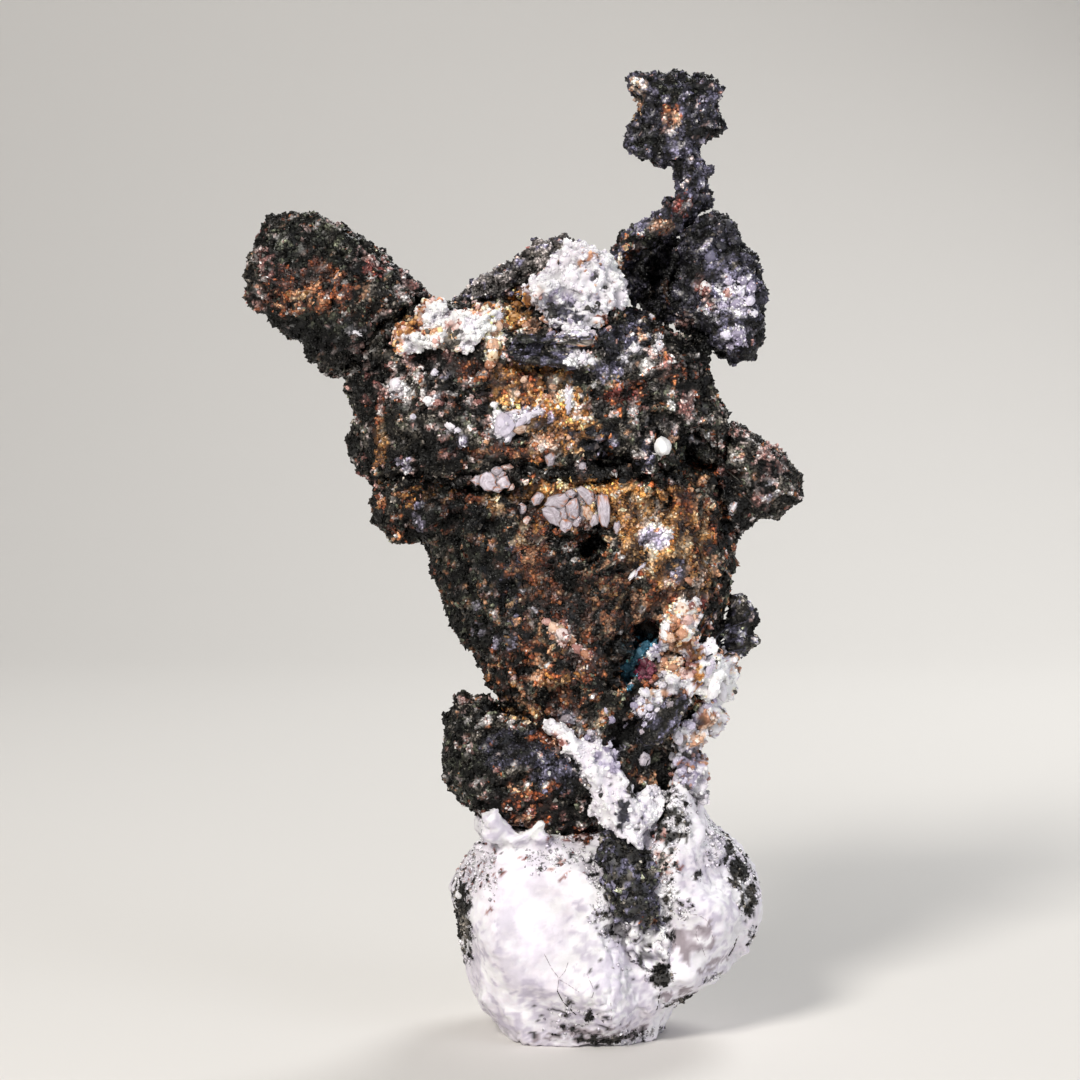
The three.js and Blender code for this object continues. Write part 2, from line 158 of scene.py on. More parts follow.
# What the specimen is made of, grain by grain: each mineral has the colours its grains come in, from dark to
# light, and how metallic it is.
minerals = {
    # black also lies in hollows, dents and gaps as painted shade
    "black": {"colours": "#0e0d0c #151312 #1c1a18", "metal": 0.3},
    "plum": {"colours": "#3a1422 #561f31 #722f44 #8f4c5f", "metal": 0.2},
    "teal": {"colours": "#32647b #437b95 #5c99b3 #8fc2d4", "metal": 0.2},
    "silver": {"colours": "#151413 #1d1c1a #262422 #2f2d2a #3a3733 #4a463f #67615a #a39b91", "metal": 0.7},
    "pewter": {"colours": "#363331 #45413f #54504e #66615f #7d7776", "metal": 0.5},
    "olive": {"colours": "#171915 #20221d #2a2c26 #363830 #464840 #62665a #92967f", "metal": 0.6},
    "blueGrey": {"colours": "#1e1d24 #28272f #33323d #403e4c #504e60 #66647a #8a869e", "metal": 0.3},
    "rust": {"colours": "#341b13 #4c2519 #69341e #864424 #a55a32 #c67d50 #e0a880", "metal": 0.1},
    "red": {"colours": "#6a2b25 #8c3a33 #b05e54 #d09286", "metal": 0.1},
    "ochre": {"colours": "#6e4420 #87572a #a06b35 #b98144 #cf9a5c #e2b684 #f0d6b4", "metal": 0.05},
    "cream": {"colours": "#b67f62 #cc987a #deb092 #ecc8b0 #f8e4d6", "metal": 0.0},
    "pink": {"colours": "#83504a #a3736c #c39890 #dcbab4 #f0dcd8 #faf4f2", "metal": 0.05},
    "lilac": {"colours": "#9d95ae #b8b0c8 #d0c9df #e4dff0 #f4f1fa", "metal": 0.0},
    "spar": {"colours": "#9c9198 #b0a5ad #c2b8c1 #d3cbd4", "metal": 0.0},
    "frost": {"colours": "#cfc8d8 #dad4e2 #e4dfeb", "metal": 0.0},
    "calcite": {"colours": "#e9e3ee #f3edf5 #f6f3fb #fdfbff", "metal": 0.0},
}
mineralNames = list(minerals)
palette = {name: np.array([linear(c) for c in minerals[name]["colours"].split()]) for name in minerals}

# Stains, patches and veins on the show side: x, z, half width and half height in mm, and their share.
frontStains = [
    # the left arm: a rusty face, a pink rim and a few white chips
    ("rust", -28.5, 77, 4.2, 3.4, 0.75), ("ochre", -29.6, 76.6, 1.6, 1.2, 0.35),
    ("red", -22, 79, 1.2, 0.8, 0.7), ("pink", -27, 84.4, 1.8, 0.8, 0.6), ("pink", -22.6, 80.6, 1.6, 1, 0.5),
    ("pink", -18.9, 77.6, 1.2, 1.7, 0.75), ("pink", -33.8, 76.6, 1.2, 1.6, 0.6),
    ("pink", -33.4, 80.6, 1.4, 2, 0.5), ("calcite", -24, 72.8, 1.2, 0.5, 0.95),
    ("pink", -23.6, 70.4, 1.6, 1.5, 0.12), ("rust", -24, 76, 3, 3, 0.2),
    ("blueGrey", -27.6, 71.6, 3, 1.6, 0.4), ("olive", -28, 73, 5, 2.4, 0.5),
    ("olive", -28, 81.6, 5, 2.4, 0.6),
    # the left of the shoulder: sugary white patches in dark sponge
    ("cream", -18, 72.6, 1.8, 1.6, 0.6), ("ochre", -18.8, 74, 1.4, 0.9, 0.6),
    ("pink", -16, 71, 3.6, 1.1, 0.5), ("rust", -12.4, 69, 1.3, 0.9, 0.9),
    ("rust", -10.4, 68.4, 1.6, 0.8, 0.4), ("pink", -18, 69, 2, 1.6, 0.3),
    ("calcite", -19.3, 67, 1.2, 1.2, 0.97), ("pink", -16.2, 65.9, 1.3, 0.7, 0.8),
    ("calcite", -15.7, 66, 0.8, 0.5, 0.8), ("calcite", -14.2, 63.1, 0.7, 0.6, 0.95),
    ("lilac", -13, 61.8, 0.6, 0.7, 0.8), ("lilac", -14.8, 68.4, 0.5, 0.7, 0.8),
    ("ochre", -21.2, 61.6, 0.7, 2.6, 0.8), ("rust", -21.5, 65, 0.7, 1.8, 0.6),
    ("lilac", -18.8, 59.4, 1.1, 0.9, 0.4), ("pink", -16, 67, 6, 4, 0.12), ("pink", -12, 65, 3, 3, 0.14),
    ("pink", -11.6, 66, 1, 0.6, 0.6), ("rust", -12.6, 60.6, 2.6, 0.8, 0.4),
    # the ochre middle of the shoulder, from the streak beside the blades down to the crevice
    ("cream", -9.7, 71.6, 1, 2.8, 0.9), ("ochre", -7.4, 74.4, 1.4, 1.7, 0.9),
    ("cream", -5.8, 73.2, 0.9, 0.8, 0.8), ("calcite", -9.4, 74.4, 0.7, 0.6, 0.9),
    ("ochre", -5.4, 66.6, 4.8, 3, 0.85), ("cream", -5, 66.8, 3.8, 2, 0.4),
    ("rust", -7.6, 67, 1.8, 1.4, 0.45), ("ochre", -3.6, 62.6, 4, 2.8, 0.8),
    ("cream", -4.4, 62, 2.8, 1.6, 0.45), ("calcite", -8.8, 63.2, 1.2, 1.9, 0.85),
    # the black at -6.9, 62.1 is painted shade in a hollow
    ("lilac", -6, 64.2, 2, 0.8, 0.7), ("black", -6.9, 62.1, 0.9, 0.4, 0.8),
    ("calcite", -2.2, 66.2, 0.5, 1.3, 0.9), ("rust", -9.4, 61, 2.6, 0.9, 0.6),
    ("rust", -6.4, 60.6, 2, 0.8, 0.5),
    # the right of the shoulder: red and pink grains, blue grey lumps and fibres
    ("pewter", 4, 69, 6, 4, 0.35), ("pewter", 7, 62, 4, 2.4, 0.35), ("lilac", 8, 63, 3, 1.6, 0.1),
    ("rust", 3.4, 66.6, 2.4, 1.4, 0.6), ("red", 3, 66.4, 1.6, 0.7, 0.5), ("pink", 4, 67.4, 1.4, 0.8, 0.4),
    ("blueGrey", 3.4, 71.6, 3, 1.8, 0.5), ("lilac", 3.4, 70.2, 0.7, 0.8, 0.5),
    ("blueGrey", 1.6, 68.8, 2.4, 1.2, 0.6), ("pink", 6.6, 69.6, 2.4, 1.6, 0.3),
    ("rust", 8, 68.2, 2.6, 2, 0.35), ("pink", 9.9, 65, 1, 1.8, 0.75), ("pink", 12.4, 62.2, 1.2, 0.8, 0.6),
    ("cream", 5.2, 72.6, 0.8, 0.9, 0.6), ("calcite", 6.8, 71.4, 0.6, 0.9, 0.95),
    ("calcite", 4.4, 71, 0.7, 0.5, 0.9), ("calcite", 6.2, 74.2, 0.7, 0.5, 0.9),
    ("blueGrey", 4.6, 74.2, 1.2, 1.2, 0.9), ("pink", 5, 63.6, 3, 2.4, 0.25),
    ("calcite", -0.8, 70, 1.5, 0.8, 0.95), ("lilac", 1.6, 61.6, 1.6, 0.7, 0.3),
    ("blueGrey", 0.8, 61.8, 2.4, 1, 0.6), ("blueGrey", 5.6, 60.2, 0.8, 1.6, 0.7),
    ("pink", 5.2, 60.4, 0.9, 0.8, 0.4), ("cream", 8.2, 61.9, 0.7, 0.5, 0.9),
    ("ochre", 8.8, 60.2, 0.6, 1, 0.5), ("pink", -1.1, 59.4, 0.7, 0.7, 0.8),
    ("lilac", 1.2, 60.4, 0.8, 0.5, 0.6), ("olive", 10, 60.6, 2, 2.6, 0.4),
    # the spur: pink and grey fibres
    ("pink", 15.4, 62, 1.2, 1.2, 0.5), ("pink", 18.4, 59.4, 2.2, 2, 0.5), ("pink", 18, 56, 1.6, 2.4, 0.3),
    ("lilac", 18.4, 56.6, 1.2, 2.4, 0.2), ("rust", 12.4, 59, 2, 2, 0.3), ("pink", 14, 59, 0.8, 0.6, 0.6),
    ("calcite", 14.3, 54.9, 0.4, 0.7, 0.8), ("red", 12.8, 56.4, 0.4, 0.3, 0.9),
    # the trunk: ochre on the right, rust down the middle, dark flank on the left
    ("ochre", 4.6, 55, 5.6, 2.2, 0.55), ("ochre", 7, 50.6, 3.8, 3.6, 0.6), ("ochre", -1, 57.2, 6, 0.8, 0.4),
    ("ochre", 7.4, 53, 4.8, 3.6, 0.88), ("cream", 6, 53.6, 3, 1.8, 0.3), ("ochre", 9.6, 48.6, 3, 3.2, 0.65),
    ("cream", 9.8, 47.6, 2.4, 2.2, 0.45), ("rust", 10.6, 55.6, 2.4, 1.2, 0.5),
    ("rust", 11, 51.6, 1.8, 2.2, 0.35), ("rust", 7.6, 45.6, 2, 1, 0.5), ("lilac", 6.5, 52, 1.6, 1.3, 0.95),
    ("lilac", 8.8, 48.4, 0.7, 0.9, 0.8), ("blueGrey", 8.4, 49.4, 0.7, 0.6, 0.8),
    ("ochre", -1, 55.8, 7, 1.8, 0.75), ("ochre", 3.4, 56.4, 2.4, 1.4, 0.6), ("rust", -6, 50.4, 1.7, 4, 0.85),
    ("ochre", -6, 52.4, 2, 1.6, 0.5), ("red", -5, 50.6, 1, 2, 0.25), ("rust", -4.4, 46.4, 2.4, 2.4, 0.5),
    ("rust", 1.6, 44, 5, 4.6, 0.4), ("ochre", 1.8, 46.4, 4, 2, 0.25), ("ochre", -16.8, 56, 2.6, 1.1, 0.65),
    ("rust", -12.6, 55.4, 2.2, 1.2, 0.5), ("ochre", -9.2, 55.8, 1.8, 1.2, 0.6),
    ("calcite", -6.6, 46.6, 0.6, 0.4, 0.8), ("calcite", -5.5, 44.6, 0.4, 0.4, 0.8),
    ("lilac", -17.4, 54, 0.5, 1.7, 0.8), ("lilac", -11.6, 45, 0.8, 0.8, 0.65),
    ("lilac", -11.4, 42.8, 0.8, 0.9, 0.75), ("lilac", -9, 41.6, 1.4, 1.6, 0.5),
    ("olive", -13, 49, 4.4, 8, 0.45), ("blueGrey", -8, 47, 1, 5, 0.3), ("red", 10.8, 45.4, 0.8, 0.6, 0.9),
    ("red", 8.9, 44.9, 1, 0.4, 0.5), ("pink", -3, 42.6, 1.5, 1, 0.9), ("pink", -1.5, 40.5, 1.6, 0.8, 0.85),
    ("cream", -2.6, 42.4, 1, 0.7, 0.4), ("ochre", -4, 37.6, 2.4, 1.2, 0.6),
    ("cream", -5, 37.4, 0.9, 0.9, 0.5), ("rust", -2.4, 35.8, 1.6, 0.9, 0.7), ("rust", -5, 39, 5, 3, 0.3),
    ("pink", -2, 33.6, 2.4, 0.9, 0.3), ("lilac", -2.4, 33.8, 0.8, 0.6, 0.8),
    ("lilac", 0.1, 32, 0.8, 1.1, 0.8),
    # the cleft with its blue and plum films, and what hangs to the right of it
    ("teal", 5.7, 41.2, 1, 1.1, 0.97), ("teal", 4.7, 39.9, 1, 1.1, 0.97),
    ("teal", 3.8, 38.2, 0.8, 1.3, 0.97), ("lilac", 3.4, 38.8, 0.4, 0.4, 0.9),
    ("plum", 5.8, 38.7, 0.9, 1.1, 0.95), ("rust", 6.3, 36.9, 1, 1, 0.85),
    ("cream", 7.9, 39.2, 1.3, 1.1, 0.9), ("calcite", 7.9, 37.6, 1.2, 0.9, 0.9),
    ("cream", 9.2, 44.6, 1.4, 1.3, 0.97), ("cream", 8.4, 42.6, 1.5, 1.6, 0.95),
    ("ochre", 10.5, 38.9, 1.1, 1.7, 0.8), ("ochre", 8.8, 41.6, 0.9, 0.9, 0.5),
    ("pink", 7.4, 42.8, 0.4, 1, 0.8), ("lilac", 5.5, 34.8, 1.5, 1.1, 0.9),
    ("cream", 12.2, 33.2, 1.1, 0.9, 0.7), ("cream", 11.2, 31.5, 0.8, 0.9, 0.8),
    ("pink", 9.3, 28.4, 1.6, 2, 0.4),
    # the heel: blue grey on its crown, rust under it and along its top
    ("blueGrey", -8, 30.6, 4.2, 2, 0.75), ("blueGrey", -4, 28.6, 2.4, 2.2, 0.7),
    ("pink", -12.4, 30.9, 0.5, 0.6, 0.8), ("pink", -12, 27.4, 2, 0.6, 0.55),
    ("pink", -13.4, 35.2, 0.6, 0.6, 0.8), ("pink", -10.6, 33.4, 1, 0.8, 0.4),
    ("ochre", -6.8, 33.8, 2.2, 0.9, 0.5), ("rust", -3.8, 32, 2.4, 1, 0.75),
    ("cream", -2.9, 31.6, 0.8, 0.8, 0.7), ("rust", -6.4, 24.6, 2.2, 2, 0.8), ("pink", -4.4, 23.4, 2, 1, 0.4),
    ("cream", -6.4, 22.9, 2, 0.7, 0.5), ("pink", -7.6, 25.6, 2, 1.4, 0.25), ("rust", -6, 27, 3, 1.2, 0.3),
    ("rust", -0.8, 21.5, 0.9, 0.6, 0.9), ("olive", -13, 29, 2, 6, 0.5),
    # the vein's white, where it laps over its neighbours
    ("calcite", -1.4, 30.2, 1.2, 0.8, 0.95), ("calcite", 0.6, 28, 1.5, 1.4, 0.95),
    ("calcite", 2.2, 25, 1.3, 2, 0.9), ("lilac", 2.4, 30.4, 1, 1.1, 0.6),
    # the crown, its limb and the lobe
    ("cream", 4.7, 97.4, 1.1, 1.3, 0.8), ("rust", 8.2, 95.2, 1.1, 0.9, 0.9),
    ("cream", 8.3, 94.7, 1, 0.7, 0.8), ("pink", 8.4, 93.6, 1.3, 0.4, 0.6),
    ("ochre", 4.6, 95.6, 0.7, 1.2, 0.5), ("pink", 11.6, 93.4, 1.6, 0.6, 0.4), ("olive", 8, 98, 3, 1.6, 0.4),
    ("olive", 5, 91, 2, 1, 0.3), ("red", 9.4, 86.4, 1.6, 1.6, 0.4), ("pink", 9.4, 86, 1.3, 1.2, 0.3),
    ("olive", 4.4, 82.6, 2.2, 1.8, 0.6), ("rust", 4.6, 82, 2, 1.4, 0.35),
    ("cream", 7.2, 84.4, 1.5, 0.8, 0.9), ("rust", 7.6, 83.8, 0.9, 0.5, 0.6),
    ("calcite", 5.7, 82, 0.4, 0.4, 0.9), ("pink", 4.4, 82.4, 1, 0.6, 0.3),
    ("cream", 2.9, 80.2, 0.7, 0.9, 0.8), ("pink", 3.4, 77.6, 0.8, 1.1, 0.7),
    ("ochre", 6.8, 76.6, 0.8, 1.1, 0.6), ("rust", 7.4, 77.6, 1, 2, 0.3), ("lilac", 15, 76.6, 1.9, 2.4, 0.9),
    ("lilac", 14.4, 72.4, 1.6, 1.2, 0.9), ("lilac", 12.6, 74.8, 1.2, 1, 0.6),
    # the black at 13.4, 73.9 is painted shade in the gap between the lilac lumps
    ("black", 13.4, 73.9, 2, 0.3, 0.8), ("pink", 11.4, 77.6, 0.9, 1, 0.8), ("pink", 12.2, 76, 0.7, 0.8, 0.5),
    ("pink", 10, 74.7, 1.2, 0.4, 0.7), ("pink", 9, 73.6, 0.6, 0.4, 0.6),
    ("blueGrey", -3, 82.4, 1.6, 1.3, 0.9),
]
# The same on the back, which nobody has seen: the silver goes on, with fewer and broader stains.
backStains = [
    ("rust", -12, 66, 5, 5, 0.45), ("ochre", -2, 62, 6, 4, 0.6), ("calcite", 3, 69, 2.6, 1.8, 0.85),
    ("pink", -18, 70, 4, 3, 0.3), ("ochre", 4, 48, 5, 6, 0.5), ("rust", -5, 42, 5, 5, 0.5),
    ("lilac", -9, 50, 2, 2.4, 0.8), ("calcite", 8, 36, 3, 4, 0.6), ("rust", -27, 78, 4, 3, 0.4),
    ("pink", 17, 58, 4, 3, 0.4), ("lilac", 14, 76, 2.6, 3, 0.6), ("calcite", -14, 58, 2.4, 1.2, 0.8),
    ("rust", 2, 30, 4, 3, 0.5), ("ochre", -8, 29, 3, 3, 0.4), ("pink", 9, 95, 2, 2, 0.4),
    ("blueGrey", -5, 72, 6, 3, 0.5),
]
# Hollows on the show side, carved in and painted black inside as shade: x, z, half width, half height and
# depth in mm.
hollows = [
    (-13, 57.4, 3.8, 0.5, 1.6), (-6.6, 59.3, 2.4, 0.6, 1.6), (-0.4, 58.6, 3.6, 0.9, 2.8),
    (3.6, 59.4, 0.8, 0.9, 2), (7.4, 58.4, 0.7, 0.8, 2), (11.2, 60.2, 1.8, 2.6, 3.6),
    (14.2, 57.4, 1.6, 1.2, 1.6), (0, 50.7, 1.7, 1.4, 3), (-3.2, 51.4, 1.4, 0.7, 1.4),
    (2.8, 48.8, 1, 0.7, 1.2), (5.4, 42.8, 1.3, 0.7, 1.6), (2.9, 40.8, 1.1, 1.2, 2),
    (2.2, 37.3, 1.2, 0.8, 1.8), (-6.9, 62.15, 0.9, 0.3, 1.2), (-4.4, 69, 4, 0.5, 1.4),
    (-0.6, 68.2, 2.2, 0.5, 1), (2.5, 12.3, 1, 0.7, 1.6), (3.4, 31.2, 1.4, 1.8, 1.4),
    (7.1, 26.6, 0.9, 3.4, 1.6), (-14.4, 37.4, 1.6, 1, 1.4), (-3.6, 35.2, 1, 0.6, 1), (6.6, 79, 2.8, 2.6, 3),
    (11, 71.6, 1.3, 1.1, 2), (-16.8, 60.4, 1.2, 0.7, 0.8), (-10.6, 66.6, 1.2, 0.7, 0.9),
    (1.4, 66, 0.8, 0.6, 0.8), (9, 69.4, 1, 0.5, 1),
]
# Where the show side is brighter or darker than its minerals make it, much of it painted light and shade:
# dark hollows, and lit clefts and faces turned from the lamps. An oval again, and how bright it is.
tonesWithPaintedLight = [
    (-29, 82.5, 7, 2.6, 0.65), (-27, 71.5, 6, 3.4, 0.2), (-14.5, 48, 4, 9, 0.42), (-11, 41.5, 3.4, 3, 0.7),
    (-8, 48, 3, 6, 0.75), (1, 45.4, 5, 3.6, 0.42), (-2, 49, 4.6, 3, 0.6), (-13.6, 29, 3, 6, 0.6),
    (-9.6, 71.8, 1.5, 3.4, 6), (-7.4, 74.4, 1.6, 1.8, 1.8), (-5, 65.6, 5, 4, 2.4), (6.5, 52, 1.9, 1.6, 3.6),
    (9, 43.6, 2.2, 2.4, 2.6), (12.6, 37, 2.6, 3.4, 2.8), (5.6, 41, 1.2, 1, 2.6), (4.2, 38.6, 0.9, 2, 4.5),
    (2.2, 40.6, 1.4, 2, 0.3), (8.3, 38.6, 1.2, 1.6, 2.2), (7, 84.4, 2, 1.2, 1.8),
    (-19.2, 66.9, 1.6, 1.4, 1.5), (4.4, 82.6, 1.6, 1.6, 2), (2.9, 79.8, 1, 2.2, 2),
    (6.4, 78.4, 2.2, 3.4, 0.3), (15.2, 76.4, 2.6, 2.8, 3.4), (14.6, 72.2, 2, 1.6, 3.4),
    (11.8, 76.6, 1.4, 2.4, 3), (5, 68, 6, 5, 1.35), (-1, 57.4, 8, 1.2, 3), (6, 51.4, 5.4, 6, 1.3),
    (-5.6, 24.4, 3, 2.6, 2.6), (9.4, 88.6, 2, 3, 1.5), (4, 71, 5, 3, 1.3), (13.4, 81, 2.4, 3, 1.5),
    (8.3, 95, 1.4, 1.2, 2.2), (4.7, 97.4, 1.2, 1.4, 1.4), (-6, 30, 4, 3, 1.25), (-2.4, 42, 2.2, 1.6, 1.8),
    (-4.4, 37.6, 2.4, 1.2, 1.4), (20, 58, 4, 4, 0.75), (9, 61, 4, 4, 1.15),
]
# How the marks end: where the show side goes over to the back, y in mm, the edges of stains and tones in half
# widths, how ragged a stain's edge is, how much painted shade blackens a hollow, where the marks start to
# wander and in what waves, the edges of calm planes and of dents, and the shares of its grains that the back
# of a large piece keeps and that the back of a small one loses.
marks = {"toBack": (-1.5, 3.5), "stainEdge": (0.7, 1.3), "ragged": 1.8, "toneEdge": (0.5, 1.4),
         "hollowShadeShare": 0.8, "wanderFrom": (-6, -2), "waves": (0.9, 0.4), "calmEdge": (0.7, 1.2),
         "dentEdge": (0.5, 1.35), "backKeeps": 0.3, "backLoses": 0.3}


def showSide(seat):  # 1 on the show side, 0 on the back
    return 1 - smoothStep(*marks["toBack"], seat[:, 1])


def toneWithPaintedLightAt(seat):  # how bright the show side is painted at each place, light and shade included
    front = showSide(seat)
    bright = np.ones(len(seat))
    for *oval, factor in tonesWithPaintedLight:
        bright *= factor ** (front * (1 - smoothStep(*marks["toneEdge"], fromOval(seat, *oval))))
    return bright


def shareOut(seat, pick, wobble, look):  # picks each grain's mineral from the mixture where it sits
    weights = np.zeros((len(seat), len(mineralNames)))
    for name, share in look["mix"].items():
        weights[:, mineralNames.index(name)] = share
    weights /= weights.sum(1, keepdims=True)
    front = showSide(seat)
    # the hollows are painted black, as shade
    shadows = [("black", *hollow[:4], marks["hollowShadeShare"]) for hollow in hollows]
    shared = () if look["clean"] else ((shadows, front), (frontStains, front), (backStains, 1 - front))
    waves = np.sin(marks["waves"][0] * seat[:, 1] + marks["waves"][1] * seat[:, 0])
    wander = smoothStep(*marks["wanderFrom"], seat[:, 1]) * waves
    wandered = seat + wander[:, None] * (0, 0, 1)
    for stains, side in (*shared, (look["blemishes"], front), (look["behind"], 1 - front)):
        for name, *oval, share in stains:
            away = fromOval(wandered, *oval) + marks["ragged"] * (wobble - 0.5)
            inside = share * side * (1 - smoothStep(*marks["stainEdge"], away))
            weights *= (1 - inside)[:, None]
            weights[:, mineralNames.index(name)] += inside
    pick = np.minimum(pick, 0.9999)  # so that rounding never runs past the last mineral
    return (np.cumsum(weights, 1) < pick[:, None]).sum(1), weights


def paint(mesh, which, chance, shade):  # writes each point's colour and metal
    colours = np.ones((len(which), 4))
    metal = np.zeros(len(which))
    for i, name in enumerate(mineralNames):
        here = which == i
        choices = palette[name]
        colours[here, :3] = choices[(chance[here] * len(choices)).astype(int) % len(choices)]
        metal[here] = minerals[name]["metal"]
    colours[:, :3] *= shade[:, None]
    writeAttribute(mesh, "stain", np.clip(colours, 0, 1), "FLOAT_COLOR")
    writeAttribute(mesh, "metal", metal)


def newMaterial(name):  # an empty material with one shader, and that shader's inputs
    material = bpy.data.materials.new(name)
    material.use_nodes = True
    tree = material.node_tree
    tree.nodes.clear()
    shader = addNode(tree, "ShaderNodeBsdfPrincipled")
    addNode(tree, "ShaderNodeOutputMaterial", {"Surface": shader})
    return material, tree, shader.inputs


# Native silver under a black sulphide tarnish, with iron stains and other grains among it. It grew as a
# sponge, so it looks like a dull dark mass in which single facets flash. The tarnish is a thin glassy film.
silverLook = {"grainSize": 0.34 * mm, "dustSize": 0.2 * mm, "dust": (0.65, 1.35), "grainToShadedGap": (1.45, 0.42),
              "rough": (0.36, 0.7), "bump": 0.08 * mm, "film": 0.12, "filmRough": 0.25}


def spongySilver(name, look):
    material, tree, shader = newMaterial(name)
    place = addNode(tree, "ShaderNodeTexCoord").outputs["Object"]
    stain = addNode(tree, "ShaderNodeAttribute", attribute_name="stain")
    metal = addNode(tree, "ShaderNodeAttribute", attribute_name="metal")
    fine = addNode(tree, "ShaderNodeTexNoise", {
        "Vector": place, "Scale": 1 / look["dustSize"], "Detail": 2.0, "Roughness": 0.6})
    grains = addNode(tree, "ShaderNodeTexVoronoi", {"Vector": place, "Scale": 1 / look["grainSize"]})
    dusty = addNode(tree, "ShaderNodeMapRange", {
        "Value": fine, "From Min": 0.3, "From Max": 0.7,
        "To Min": look["dust"][0], "To Max": look["dust"][1]})
    # painted shade in the gaps between the fine grains; the same cells make the bump
    shadedGaps = addNode(tree, "ShaderNodeMapRange", {
        "Value": grains, "From Min": 0.25, "From Max": 0.65,
        "To Min": look["grainToShadedGap"][0], "To Max": look["grainToShadedGap"][1]})
    speckle = addNode(tree, maths, {0: dusty, 1: shadedGaps}, operation="MULTIPLY")
    tinted = addNode(tree, vectorMaths, {0: stain, "Scale": speckle}, operation="SCALE")
    rough = addNode(tree, "ShaderNodeMapRange", {
        "Value": fine, "From Min": 0.35, "From Max": 0.65,
        "To Min": look["rough"][0], "To Max": look["rough"][1]})
    bump = addNode(tree, "ShaderNodeBump", {"Height": shadedGaps, "Strength": 0.7, "Distance": look["bump"]})
    tree.links.new(tinted.outputs["Vector"], shader["Base Color"])
    tree.links.new(metal.outputs["Fac"], shader["Metallic"])
    tree.links.new(rough.outputs["Result"], shader["Roughness"])
    tree.links.new(bump.outputs["Normal"], shader["Normal"])
    shader["Coat Weight"].default_value = look["film"]
    shader["Coat Roughness"].default_value = look["filmRough"]
    return material


# Massive calcite: white, a little lilac in its thick parts, satin where it broke and glassy on crystal faces.
calciteLook = {"sugarSize": 0.45 * mm, "cloudSize": 5 * mm, "cloud": (0.82, 1.0), "rough": (0.4, 0.7),
               "bump": 0.1 * mm, "bumpShare": 0.7, "ior": 1.58, "glow": 0.18, "glowReach": 0.9 * mm}
crystalLook = {**calciteLook, "bumpShare": 0.6}


def massiveCalcite(name, look):
    material, tree, shader = newMaterial(name)
    place = addNode(tree, "ShaderNodeTexCoord").outputs["Object"]
    stain = addNode(tree, "ShaderNodeAttribute", attribute_name="stain")
    sugar = addNode(tree, "ShaderNodeTexNoise", {
        "Vector": place, "Scale": 1 / look["sugarSize"], "Detail": 4.0, "Roughness": 0.65})
    cloud = addNode(tree, "ShaderNodeTexNoise", {
        "Vector": place, "Scale": 1 / look["cloudSize"], "Detail": 3.0, "Roughness": 0.55})
    cloudy = addNode(tree, "ShaderNodeMapRange", {
        "Value": cloud, "From Min": 0.35, "From Max": 0.62,
        "To Min": look["cloud"][0], "To Max": look["cloud"][1]})
    shaded = addNode(tree, vectorMaths, {0: stain, "Scale": cloudy}, operation="SCALE")
    rough = addNode(tree, "ShaderNodeMapRange", {
        "Value": sugar, "From Min": 0.35, "From Max": 0.65,
        "To Min": look["rough"][0], "To Max": look["rough"][1]})
    bump = addNode(tree, "ShaderNodeBump", {
        "Height": sugar, "Strength": look["bumpShare"], "Distance": look["bump"]})
    tree.links.new(shaded.outputs["Vector"], shader["Base Color"])
    tree.links.new(rough.outputs["Result"], shader["Roughness"])
    tree.links.new(bump.outputs["Normal"], shader["Normal"])
    shader["IOR"].default_value = look["ior"]  # between calcite's two
    shader["Subsurface Weight"].default_value = look["glow"]
    shader["Subsurface Radius"].default_value = (1.0, 0.85, 1.0)
    shader["Subsurface Scale"].default_value = look["glowReach"]
    return material


silverMaterial = spongySilver("tarnishedNativeSilver", silverLook)
calciteMaterial = massiveCalcite("massiveCalcite", calciteLook)
crystalMaterial = massiveCalcite("clearCalciteCrystal", crystalLook)
print("stage: materials made")


